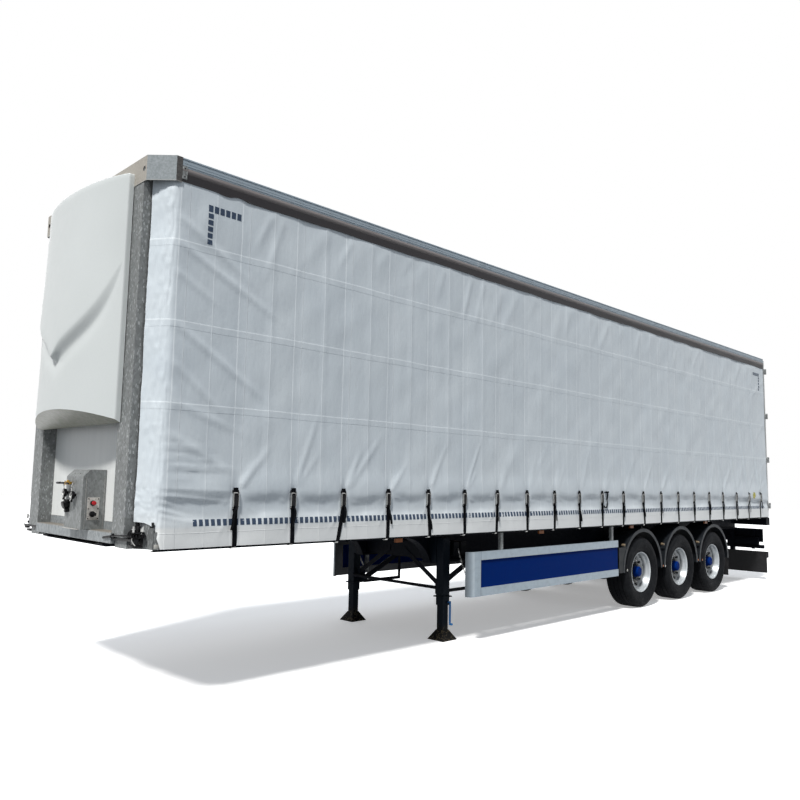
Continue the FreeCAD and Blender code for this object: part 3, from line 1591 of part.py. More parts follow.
def air_equipment():
    """Two air tanks hung between the beams, and a pair of valve boxes by the side guard."""
    pieces = []
    radius = cell("tank_radius")
    length = cell("tank_length")
    x = station(cell("tank_station") + length)
    z = beam_bottom + cell("tank_drop")
    band = cell("tank_band")
    band_width = cell("tank_band_width")
    for side_name, side in SIDES:
        y = (beam_y - cell("beam_web") / 2 - radius - band) * side
        tank = [rod("tank_shell_" + side_name, "x", (x, y, z), radius, length)]
        for number, share in enumerate((0.2, 0.8)):
            start = x + length * share - band_width / 2
            tank.append(rod("tank_band_%s_%d" % (side_name, number), "x", (start, y, z), radius + band,
                            band_width))
        pieces.append(fused("air_tank_" + side_name, tank))
    half = cell("valve_box_size") / 2
    web_face = beam_y + cell("beam_web") / 2
    foot = cell("valve_box_bottom")
    for number in (0, 1):
        x = station(cell("valve_box_station") + cell("valve_box_pitch") * number)
        pieces.append(box("valve_box_%d" % number, (x - half, x + half),
                          (web_face, web_face + cell("valve_box_reach")),
                          (foot, foot + cell("valve_box_height"))))
    return pieces


sub_part("air_equipment", grouped("air_equipment", air_equipment()))

# ---------------------------------------------------------------- checks and export

doc.recompute()
failed = [thing.Label for thing in doc.Objects if set(thing.State) & {"Invalid", "Error"}]
if failed:
    raise RuntimeError("these objects failed: " + ", ".join(failed))
for node, piece in SUB_PARTS.items():
    if piece.Shape.isNull() or not piece.Shape.isValid() or not piece.Shape.Solids:
        raise RuntimeError("the shape of %s is not a valid solid" % node)

os.makedirs("parts", exist_ok=True)
for node, piece in SUB_PARTS.items():
    piece.Shape.exportStep("parts/%s.step" % node)
print("%d sub-parts, %d solids" % (len(SUB_PARTS), sum(len(p.Shape.Solids) for p in SUB_PARTS.values())))
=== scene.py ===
import json
import math
import random

import bmesh
import bpy
import numpy as np
from mathutils import Matrix, Vector


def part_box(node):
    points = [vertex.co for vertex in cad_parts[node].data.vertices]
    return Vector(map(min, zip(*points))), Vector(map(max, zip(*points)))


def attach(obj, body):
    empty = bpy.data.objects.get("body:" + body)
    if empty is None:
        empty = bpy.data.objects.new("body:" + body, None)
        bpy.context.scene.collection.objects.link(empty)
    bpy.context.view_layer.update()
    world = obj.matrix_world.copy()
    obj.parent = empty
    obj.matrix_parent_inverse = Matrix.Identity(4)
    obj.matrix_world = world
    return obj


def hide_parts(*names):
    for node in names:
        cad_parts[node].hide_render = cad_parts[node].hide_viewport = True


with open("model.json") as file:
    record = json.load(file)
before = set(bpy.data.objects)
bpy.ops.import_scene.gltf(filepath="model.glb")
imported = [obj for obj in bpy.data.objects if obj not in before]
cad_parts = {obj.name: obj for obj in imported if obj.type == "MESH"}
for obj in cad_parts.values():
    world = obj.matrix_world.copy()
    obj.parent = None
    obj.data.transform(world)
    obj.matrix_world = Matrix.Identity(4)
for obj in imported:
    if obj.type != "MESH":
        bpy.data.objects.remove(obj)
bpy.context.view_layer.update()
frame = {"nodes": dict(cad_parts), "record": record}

bpy.context.scene.view_settings.view_transform = "Standard"

SIDES = (("left", 1), ("right", -1))
TRAILER = "trailer"
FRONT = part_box("front_posts")[1].x
HALF_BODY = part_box("side_raves")[1].y
STRAP_PITCH = 0.6073
STRAPS = [0.883 + STRAP_PITCH * number for number in range(21)]
LEVEL_WELDS = (3.77, 3.09, 2.415)
HEM_SEAM = 1.39
VALANCE_CROWN = 0.045
EVEN = (1.0, 1.0, 1.0)
UPRIGHT = (1.0, 1.0, 0.1)


# ---------------------------------------------------------------- materials

class Look:
    """A procedural material in the making, with short names for the nodes that it uses."""

    def __init__(self, name, base, roughness=0.5, metallic=0.0, specular=0.5, coat=0.0):
        self.material = bpy.data.materials.new(name)
        self.material.use_nodes = True
        self.tree = self.material.node_tree
        self.shader = self.tree.nodes["Principled BSDF"]
        for socket, value in (("Roughness", roughness), ("Metallic", metallic),
                              ("Specular IOR Level", specular), ("Coat Weight", coat)):
            self.shader.inputs[socket].default_value = value
        self.place = self.add("ShaderNodeTexCoord").outputs["Object"]
        self.base = base

    def add(self, kind, *values, **settings):
        """A new node with these settings, its first sockets fed with these values."""
        node = self.tree.nodes.new(kind)
        for name, value in settings.items():
            setattr(node, name, value)
        for socket, value in zip(node.inputs, values):
            self.feed(socket, value)
        return node

    def feed(self, socket, value):
        """Links a node's output to a socket, or sets the socket's own value."""
        if isinstance(value, bpy.types.NodeSocket):
            self.tree.links.new(value, socket)
        elif hasattr(value, "__len__") and len(socket.default_value) == 4:
            socket.default_value = (*value, 1.0)[:4]
        else:
            socket.default_value = value

    def texture(self, kind, scale, stretch):
        """A texture node whose place is multiplied by a factor on each axis."""
        node = self.add(kind)
        spread = self.add("ShaderNodeVectorMath", self.place, stretch, operation="MULTIPLY")
        self.feed(node.inputs["Vector"], spread.outputs[0])
        self.feed(node.inputs["Scale"], scale)
        return node

    def noise(self, scale, detail=3.0, stretch=EVEN):
        """Smooth noise from 0 to 1, this many cells to a metre."""
        node = self.texture("ShaderNodeTexNoise", scale, stretch)
        self.feed(node.inputs["Detail"], detail)
        self.feed(node.inputs["Roughness"], 0.55)
        return node.outputs[0]

    def patches(self, scale, detail, low, high, stretch=EVEN, start=0.0, end=1.0):
        """Noise whose range low..high is mapped to start..end."""
        return self.ramp(self.noise(scale, detail, stretch), low, high, start, end)

    def cell_shades(self, scale, stretch):
        """Three random values for each cell of a Voronoi pattern."""
        cells = self.texture("ShaderNodeTexVoronoi", scale, stretch)
        return self.add("ShaderNodeSeparateColor", cells.outputs["Color"]).outputs

    def cell_depth(self, scale):
        """The distance inside each cell of a Voronoi pattern."""
        return self.texture("ShaderNodeTexVoronoi", scale, EVEN).outputs["Distance"]

    def axis(self, letter):
        """One coordinate of the place, in metres."""
        return self.add("ShaderNodeSeparateXYZ", self.place).outputs[letter]

    def facing(self, letter):
        """One part of the surface's own direction, from -1 to 1."""
        normal = self.add("ShaderNodeTexCoord").outputs["Normal"]
        return self.add("ShaderNodeSeparateXYZ", normal).outputs[letter]

    def calc(self, operation, *values):
        """A sum, difference or comparison."""
        return self.add("ShaderNodeMath", *values, operation=operation).outputs[0]

    def times(self, first, second):
        return self.calc("MULTIPLY", first, second)

    def ripple(self, letter, rate):
        """A sine wave along one axis."""
        return self.calc("SINE", self.times(self.axis(letter), rate))

    def ramp(self, factor, low, high, start=0.0, end=1.0):
        """Maps a factor from the range low..high to start..end, held at both ends."""
        return self.add("ShaderNodeMapRange", factor, low, high, start, end, clamp=True).outputs[0]

    def band(self, value, low, high, soft):
        """1 where a value lies between low and high, falling to 0 over soft."""
        return self.times(self.ramp(value, low - soft, low + soft),
                          self.ramp(value, high - soft, high + soft, 1.0, 0.0))

    def mix(self, factor, first, second):
        """A blend of two colours."""
        node = self.add("ShaderNodeMix", factor, data_type="RGBA")
        self.feed(node.inputs[6], first)
        self.feed(node.inputs[7], second)
        return node.outputs[2]

    def over(self, colour, factor, strength=None):
        """Lays a colour over the base where the factor asks, at most this strongly."""
        self.base = self.mix(factor if strength is None else self.times(factor, strength), self.base, colour)
        self.feed(self.shader.inputs["Base Color"], self.base)

    def rough(self, factor, start, end, low=0.0, high=1.0):
        """Roughness from start to end where the factor goes from low to high."""
        self.feed(self.shader.inputs["Roughness"], self.ramp(factor, low, high, start, end))

    def bump(self, height, distance, strength=1.0):
        """Raises the surface by a height from 0 to 1 times the distance in metres."""
        node = self.add("ShaderNodeBump")
        self.feed(node.inputs["Strength"], strength)
        self.feed(node.inputs["Distance"], distance)
        self.feed(node.inputs["Height"], height)
        earlier = self.shader.inputs["Normal"]
        if earlier.is_linked:
            self.feed(node.inputs["Normal"], earlier.links[0].from_socket)
        self.feed(earlier, node.outputs[0])

    def grain(self, scale, detail, distance, strength, stretch=EVEN):
        """Bump from noise."""
        self.bump(self.noise(scale, detail, stretch), distance, strength)


def painted_steel(name, paint, dust, roughness, straw=False):
    """Satin paint with mottled road dust that gathers on upward faces, tops lightened by dust and painted
    light, and straw on the landing feet.
    """
    look = Look(name, paint, specular=0.05)
    patches = look.patches(7.0, 6.0, 0.42, 0.72)
    mottle = look.calc("ADD", look.times(patches, 0.55),
                       look.times(look.patches(160.0, 2.0, 0.45, 0.75), 0.25))
    look.over(dust, look.times(mottle, look.ramp(look.facing("Z"), 0.3, 1.0, 0.25, 1.0)))
    # lighter tops: partly settled dust, partly painted light where the sun falls on upward faces
    dust_and_top_light = look.times(look.ramp(look.facing("Z"), 0.75, 0.95), look.ramp(patches, 0.0, 0.6, 0.15, 0.7))
    look.over((0.075, 0.070, 0.060), dust_and_top_light)
    if straw:
        strands = look.band(look.noise(13.0, 3.0, (1.0, 1.0, 1.6)), 0.485, 0.515, 0.006)
        low = look.ramp(look.axis("Z"), 0.10, 0.19, 1.0, 0.0)
        look.over((0.020, 0.016, 0.010), low, 0.55)
        look.over((0.17, 0.14, 0.085), look.times(strands, low), 0.8)
    look.rough(look.noise(30.0), roughness - 0.08, roughness + 0.14, 0.3, 0.7)
    look.grain(420.0, 2.0, 0.0004, 0.5)
    look.grain(26.0, 4.0, 0.0012, 0.35)
    return look.material


def galvanised(name, shade=1.0, flecks=1.0, tone=(1.0, 1.05, 1.05), top=None):
    """Hot-dip zinc: dull crystals a centimetre or two wide, bright upright flecks and grey runs."""

    def grey(value):
        return tuple(value * part for part in tone)

    look = Look(name, grey(shade * 0.145), metallic=0.25, specular=0.35)
    crystals = look.cell_shades(64.0, (1.0, 1.0, 0.6))
    look.over(grey(shade * 0.225), crystals[0])
    look.over(grey(0.50), look.ramp(look.cell_shades(120.0, (1.0, 1.0, 0.38))[1], 0.88, 0.95), 0.62 * flecks)
    look.over(grey(shade * 0.17), look.patches(5.0, 5.0, 0.38, 0.7, (1.0, 1.0, 0.22)), 0.3)
    if top:
        look.over(top, look.ramp(look.facing("Z"), 0.6, 0.9))
    look.rough(crystals[2], 0.42, 0.66)
    look.bump(look.cell_depth(64.0), 0.0006, 0.35)
    look.grain(14.0, 3.0, 0.002, 0.25)
    return look.material


def header_zinc(name):
    """Smooth zinc sheet, lit and shaded in paint by facing: a lighter brownish face as painted light, bluer
    on the folded corner, the side darkened as painted shade.
    """
    look = Look(name, None, metallic=0.15, specular=0.35)
    grain = look.patches(55.0, 5.0, 0.35, 0.7)
    # painted light: the front face lighter and browner than the folded corner
    front = look.mix(grain, (0.33, 0.305, 0.265), (0.42, 0.395, 0.35))
    look.base = look.mix(grain, (0.19, 0.215, 0.225), (0.275, 0.30, 0.315))
    # painted shade: the side much darker than the face
    flank = look.mix(grain, (0.040, 0.039, 0.040), (0.095, 0.090, 0.086))
    look.over(front, look.ramp(look.facing("X"), 0.80, 0.95))
    look.over(flank, look.ramp(look.facing("X"), 0.25, 0.45, 1.0, 0.0))
    # painted highlight along the lower edge
    look.over((0.45, 0.45, 0.43), look.band(look.axis("Z"), 4.270, 4.289, 0.002), 0.5)
    look.rough(grain, 0.42, 0.62)
    look.grain(9.0, 3.0, 0.002, 0.3)
    return look.material


def moulded_grp(name):
    """White gelcoat: satin outside with a faint bloom, rough dark laminate behind, and painted shade with a
    painted olive reflection beneath.
    """
    look = Look(name, (0.585, 0.615, 0.61), specular=0.4, coat=0.12)
    look.shader.inputs["Coat Roughness"].default_value = 0.2
    look.over((0.635, 0.665, 0.66), look.patches(0.9, 2.0, 0.3, 0.75))
    look.over((0.46, 0.48, 0.47), look.patches(70.0, 5.0, 0.45, 0.8, end=0.12))
    # dark olive: laminate on the back faces; on the underside it is painted shade and a painted reflection of
    # the grass below
    laminate_and_shade = look.mix(look.patches(34.0, 5.0, 0.35, 0.7), (0.085, 0.095, 0.06), (0.16, 0.16, 0.12))
    behind = look.calc("LESS_THAN", look.facing("X"), -0.08)
    beneath = look.calc("LESS_THAN", look.facing("Z"), -0.8)
    look.over(laminate_and_shade, look.calc("MAXIMUM", behind, beneath))
    look.rough(look.noise(11.0, 4.0), 0.34, 0.48, 0.3, 0.75)
    look.grain(3.2, 2.0, 0.003, 0.2)
    return look.material


def white_sheet(name):
    """Coated white panel with faint runs, and light dirt that is thickest along its foot."""
    look = Look(name, (0.80, 0.815, 0.80), specular=0.45)
    look.over((0.62, 0.64, 0.63), look.patches(12.0, 4.0, 0.45, 0.8, (1.0, 1.0, 0.08), end=0.25))
    low = look.ramp(look.axis("Z"), 1.35, 1.75, 1.0, 0.15)
    look.over((0.34, 0.33, 0.30), look.times(look.patches(60.0, 5.0, 0.55, 0.8), low), 0.5)
    look.rough(look.noise(20.0), 0.34, 0.5, 0.3, 0.7)
    look.grain(5.0, 2.0, 0.002, 0.2)
    return look.material


def extruded_aluminium(name):
    """Dull anodised aluminium with fine lines along its length and water marks."""
    tone = (0.29, 0.35, 0.40)
    look = Look(name, tone, metallic=0.45)
    lines = look.noise(220.0, 2.0, (0.01, 1.0, 1.0))
    marks = look.patches(16.0, 6.0, 0.45, 0.75)
    look.over(tuple(part * 0.72 for part in tone), lines, 0.5)
    look.over((0.20, 0.23, 0.25), marks, 0.35)
    # the side guard's nose: a painted highlight down its middle, painted shade at its foot, a dark seam
    # against the rails
    for start, end, soft, colour, strength in ((2.548, 2.568, 0.022, (0.50, 0.55, 0.58), 0.55),
                                               (2.440, 2.480, 0.030, (0.16, 0.20, 0.23), 0.30),
                                               (2.421, 2.426, 0.002, (0.03, 0.04, 0.05), 0.8)):
        look.over(colour, look.band(look.axis("X"), start, end, soft), strength)
    # painted shade on what faces forward, and painted shade on the inner faces
    look.over((0.085, 0.10, 0.115), look.ramp(look.facing("X"), 0.25, 0.95, 0.0, 0.85))
    inward = look.calc("LESS_THAN", look.times(look.facing("Y"), look.axis("Y")), -0.3)
    look.over(look.mix(marks, (0.010, 0.012, 0.016), (0.028, 0.030, 0.034)), inward)
    look.rough(marks, 0.34, 0.52)
    look.bump(lines, 0.0003, 0.4)
    return look.material


def blue_paint(name):
    """Royal blue paint, a little chalky, with fine upright dirt."""
    look = Look(name, (0.0012, 0.022, 0.160), specular=0.01)
    chalk = look.patches(11.0, 6.0, 0.5, 0.8)
    look.over((0.012, 0.05, 0.19), chalk, 0.14)
    look.over((0.004, 0.018, 0.085), look.patches(30.0, 4.0, 0.5, 0.8, UPRIGHT), 0.2)
    look.rough(chalk, 0.36, 0.55)
    look.grain(340.0, 2.0, 0.0003, 0.4)
    return look.material


def coated_cloth(name):
    """PVC-coated polyester: a faint basket weave, soft gloss, creases, weld lines with painted highlights,
    dirt spots low down, and a pale hem that is painted light from the ground.
    """
    look = Look(name, (0.615, 0.675, 0.72), specular=0.42)
    look.over((0.68, 0.735, 0.77), look.patches(1.6, 4.0, 0.3, 0.75))
    look.over((0.50, 0.52, 0.53), look.patches(24.0, 6.0, 0.56, 0.8, (1.0, 1.0, 0.5)), 0.16)
    low = look.ramp(look.axis("Z"), 1.28, 1.62, 1.0, 0.0)
    look.over((0.42, 0.41, 0.38), look.times(low, look.patches(46.0, 7.0, 0.5, 0.78)), 0.4)
    look.rough(look.noise(8.0, 4.0), 0.34, 0.5, 0.3, 0.7)
    look.bump(look.times(look.ripple("X", 2400.0), look.ripple("Z", 2400.0)), 0.0001, 0.08)
    look.grain(9.0, 5.0, 0.010, 0.5, (1.0, 1.0, 0.35))
    look.grain(34.0, 4.0, 0.002, 0.35, (0.7, 1.0, 1.0))
    # welded strips: one behind every strap, one fold line midway, and the level seams of the panels
    half = STRAP_PITCH / 2
    offset = look.calc("SUBTRACT", FRONT - STRAPS[0] + STRAP_PITCH * 40.5, look.axis("X"))
    share = look.calc("SUBTRACT", look.calc("FRACT", look.calc("DIVIDE", offset, STRAP_PITCH)), 0.5)
    aside = look.calc("ABSOLUTE", look.times(share, STRAP_PITCH))
    strip = look.band(aside, -0.045, 0.045, 0.0025)
    fold = look.band(aside, half - 0.005, STRAP_PITCH, 0.004)
    wander = look.times(look.calc("SUBTRACT", look.noise(1.1, 2.0), 0.5), 0.03)
    height = look.calc("ADD", look.axis("Z"), wander)
    seams = look.band(height, HEM_SEAM - 0.003, HEM_SEAM + 0.003, 0.002)
    # painted highlights along each strip's edges, along the midway fold and above each level seam
    pale = look.calc("MAXIMUM", look.band(aside, 0.037, 0.050, 0.003),
                     look.times(look.band(aside, half - 0.007, STRAP_PITCH, 0.003), 0.7))
    for level in LEVEL_WELDS:
        seams = look.calc("MAXIMUM", seams, look.band(height, level - 0.03, level + 0.03, 0.0025))
        pale = look.calc("MAXIMUM", pale, look.band(height, level + 0.021, level + 0.031, 0.003))
    look.over((0.80, 0.85, 0.88), pale, 0.6)
    # the hem paler, and the skirt above it a little: painted bounce light from the ground below
    hem = look.calc("ADD", look.ramp(height, 1.42, 1.445, 0.55, 0.0),
                    look.ramp(height, 1.45, 1.60, 0.30, 0.0))
    look.over((0.83, 0.84, 0.83), hem)
    look.bump(look.calc("ADD", strip, look.times(fold, 0.7)), 0.0013)
    look.bump(seams, 0.0011)
    return look.material


def webbing(name):
    """Black woven polyester: ribs across the band, dusty and a little faded."""
    look = Look(name, (0.0035, 0.004, 0.0055), roughness=0.82, specular=0.04)
    look.over((0.014, 0.015, 0.018), look.patches(18.0, 4.0, 0.4, 0.75), 0.5)
    look.bump(look.ramp(look.ripple("Z", 1500.0), -1.0, 1.0), 0.0006, 0.6)
    return look.material


def bare_steel(name, tone, metallic=0.8):
    """Zinc-plated or bare steel, brushed and spotted with dull patches."""
    look = Look(name, tone, metallic=metallic)
    worn = look.patches(70.0, 5.0, 0.45, 0.7)
    look.over(tuple(part * 0.45 for part in tone), worn, 0.6)
    look.rough(worn, 0.28, 0.55)
    look.grain(300.0, 3.0, 0.0003, 0.4)
    return look.material


def rubber(name, tone, roughness=0.6, scale=60.0, edge=None, sheen=0.35):
    """Moulded rubber or plastic with a fine grain, a film of dust and, if asked, a paler outer edge."""
    look = Look(name, tone, specular=sheen)
    dust = look.patches(12.0, 5.0, 0.48, 0.78)
    look.over(tuple(part * 1.9 + 0.012 for part in tone), dust, 0.6 if edge is None else 0.35)
    if edge is not None:
        outer = look.ramp(look.calc("ABSOLUTE", look.axis("Y")), edge - 0.004, edge - 0.001)
        look.over((0.024, 0.028, 0.033), outer, 0.85)
    look.rough(dust, roughness - 0.06, roughness + 0.16)
    look.grain(scale * 6.0, 2.0, 0.0003, 0.5)
    return look.material


def valance_rubber(name):
    """Brown rubber, paler along the bowed crown with dust and a painted highlight, and almost black down the
    skirt.
    """
    look = Look(name, (0.010, 0.0085, 0.011), specular=0.3)
    streaks = look.patches(26.0, 4.0, 0.35, 0.75, (0.08, 1.0, 1.0))
    crown_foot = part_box("roof_valances")[1].z - VALANCE_CROWN
    # the crown's paler brown: partly dust, partly a painted highlight on the upward bulge
    dust_and_highlight = look.mix(streaks, (0.185, 0.165, 0.162), (0.245, 0.222, 0.218))
    look.over(dust_and_highlight, look.ramp(look.axis("Z"), crown_foot - 0.010, crown_foot + 0.012))
    look.rough(streaks, 0.42, 0.58)
    look.grain(40.0, 2.0, 0.0008, 0.3, (0.1, 1.0, 1.0))
    return look.material


def tyre_rubber(name):
    """Tyre rubber: charcoal with patches of dust, finely grained."""
    look = Look(name, (0.0075, 0.0082, 0.0098), specular=0.07)
    look.over((0.019, 0.020, 0.022), look.patches(9.0, 6.0, 0.4, 0.75), 0.7)
    look.rough(look.noise(40.0), 0.62, 0.84, 0.3, 0.7)
    look.grain(500.0, 2.0, 0.0003, 0.5)
    return look.material


def rim_paint(name):
    """Silver wheel paint, bright towards the lip, darker towards the disc and the deep end with brake dust
    and painted shade.
    """
    look = Look(name, (0.045, 0.048, 0.052), metallic=0.4, specular=0.3)
    dust = look.patches(16.0, 5.0, 0.45, 0.78)
    low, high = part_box("tyre_left_1")
    middle = (low.y + high.y) / 2
    # darker deeper in the dish: partly brake dust, partly painted shade inside the recess
    depth = look.ramp(look.calc("ABSOLUTE", look.axis("Y")), middle + 0.005, middle + 0.125)
    silver = look.mix(look.times(dust, 0.3), (0.50, 0.53, 0.55), (0.33, 0.34, 0.35))
    look.over(silver, look.calc("POWER", depth, 0.8))
    look.rough(dust, 0.34, 0.5)
    look.grain(240.0, 2.0, 0.0003, 0.35)
    return look.material


def plywood(name):
    """Phenolic-faced plywood deck: dark brown with a wire-mesh print and wear."""
    look = Look(name, (0.055, 0.032, 0.02), specular=0.35)
    look.over((0.15, 0.105, 0.07), look.patches(5.0, 6.0, 0.4, 0.75, (0.3, 1.0, 1.0)))
    look.bump(look.calc("MAXIMUM", look.ripple("X", 900.0), look.ripple("Y", 900.0)), 0.0004, 0.5)
    return look.material


def lamp_plastic(name):
    """Lens plastic: amber along the sides, red at the rear, with fine prisms."""
    look = Look(name, None, roughness=0.3, specular=0.15)
    grime = look.patches(50.0, 4.0, 0.5, 0.8, end=0.4)
    look.base = look.mix(grime, (0.30, 0.085, 0.012), (0.10, 0.045, 0.018))
    red = look.mix(grime, (0.30, 0.008, 0.008), (0.08, 0.012, 0.012))
    look.over(red, look.calc("LESS_THAN", look.axis("X"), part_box("rear_sill")[1].x))
    look.bump(look.ripple("Z", 1800.0), 0.0005, 0.5)
    return look.material


def retro_tape(name, tone):
    """Grey-blue retro-reflective tape with its honeycomb of small cells."""
    look = Look(name, tone, roughness=0.4, specular=0.15)
    cell = look.cell_depth(420.0)
    look.over(tuple(part * 1.5 for part in tone), look.ramp(cell, 0.1, 0.6))
    look.bump(cell, 0.0003, 0.4)
    return look.material


GUARD_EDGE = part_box("mudguards")[1].y
LOOKS = {
    # the frame's own slots
    "chassis_paint": painted_steel("chassis_paint_look", (0.0025, 0.0035, 0.0065),
                                   (0.014, 0.015, 0.018), 0.55),
    "leg_paint": painted_steel("leg_paint_look", (0.005, 0.009, 0.015), (0.016, 0.021, 0.027), 0.5, True),
    "tank_paint": painted_steel("tank_paint_look", (0.005, 0.006, 0.008), (0.022, 0.022, 0.023), 0.45),
    "galvanised": galvanised("galvanised_look"),
    "white_grp": moulded_grp("white_grp_look"),
    "door_white": white_sheet("door_white_look"),
    "aluminium": extruded_aluminium("aluminium_look"),
    "blue_panel": blue_paint("blue_panel_look"),
    "curtain_pvc": coated_cloth("curtain_pvc_look"),
    "webbing": webbing("webbing_look"),
    "buckle_steel": bare_steel("buckle_steel_look", (0.42, 0.42, 0.41)),
    "rubber_black": rubber("rubber_black_look", (0.007, 0.007, 0.008), 0.62),
    "valance_rubber": valance_rubber("valance_rubber_look"),
    "tyre_rubber": tyre_rubber("tyre_rubber_look"),
    "rim_silver": rim_paint("rim_silver_look"),
    "plywood": plywood("plywood_look"),
    "black_plastic": rubber("black_plastic_look", (0.008, 0.010, 0.0125), 0.5, 90.0, GUARD_EDGE, 0.12),
    "lamp_plastic": lamp_plastic("lamp_plastic_look"),
    "crank_paint": painted_steel("crank_paint_look", (0.09, 0.34, 0.80), (0.12, 0.26, 0.5), 0.45),
    "fitting_black": rubber("fitting_black_look", (0.005, 0.005, 0.006), 0.42, 120.0, None, 0.12),
    # looks of single nodes and of pieces that share another slot
    "header_zinc": header_zinc("header_zinc_look"),
    "cabinet_zinc": galvanised("cabinet_zinc_look", 1.15, 0.12, (0.98, 1.03, 1.03)),
    "rail_zinc": galvanised("rail_zinc_look", 1.45, 0.25, (0.97, 1.04, 1.07), (0.20, 0.18, 0.155)),
    "front_panel": white_sheet("front_panel_look"),
    "cap_blue": blue_paint("cap_blue_look"),
    "tape": retro_tape("tape_look", (0.035, 0.052, 0.085)),
    "brass": bare_steel("brass_look", (0.50, 0.30, 0.055), 0.75),
    "pale_plate": bare_steel("pale_plate_look", (0.50, 0.48, 0.45), 0.2),
    "red_knob": rubber("red_knob_look", (0.42, 0.012, 0.018), 0.4, 90.0),
    "green_cap": rubber("green_cap_look", (0.12, 0.34, 0.05), 0.45, 90.0),
    "pale_tag": rubber("pale_tag_look", (0.55, 0.54, 0.50), 0.5, 90.0),
    "tan_end": rubber("tan_end_look", (0.16, 0.12, 0.075), 0.6, 90.0),
    "yellow_tag": rubber("yellow_tag_look", (0.36, 0.33, 0.02), 0.5, 90.0),
}
OWN_LOOKS = {"front_header": "header_zinc", "coupling_box": "cabinet_zinc", "front_panel": "front_panel",
             "curtain_tensioners": "fitting_black"}
for part in frame["record"]["subparts"]:
    node = frame["nodes"][part["node"]]
    node.data.materials.clear()
    node.data.materials.append(LOOKS[OWN_LOOKS.get(part["node"], part["material_slot"])])


# ---------------------------------------------------------------- building blocks

def rise(value, low, high):
    """0 below low, 1 above high, with a soft rise between."""
    share = np.clip((value - low) / (high - low), 0.0, 1.0)
    return share * share * (3 - 2 * share)


def tent(distance, width):
    """A sharp ridge of height 1 at 0."""
    return np.clip(1.0 - np.abs(distance) / width, 0.0, 1.0)


def bell(distance, width):
    """A soft ridge of height 1 at 0."""
    return np.exp(-(distance / width) ** 2)


def solids(node):
    """(low corner, high corner) of each separate solid of a CAD node."""
    mesh = frame["nodes"][node].data
    places = [tuple(round(value, 5) for value in vertex.co) for vertex in mesh.vertices]
    leader = {place: place for place in places}

    def root(place):
        while leader[place] != place:
            leader[place] = leader[leader[place]]
            place = leader[place]
        return place

    for edge in mesh.edges:
        leader[root(places[edge.vertices[0]])] = root(places[edge.vertices[1]])
    groups = {}
    for place in leader:
        groups.setdefault(root(place), []).append(place)
    return [(Vector(map(min, *group)), Vector(map(max, *group))) for group in groups.values()]


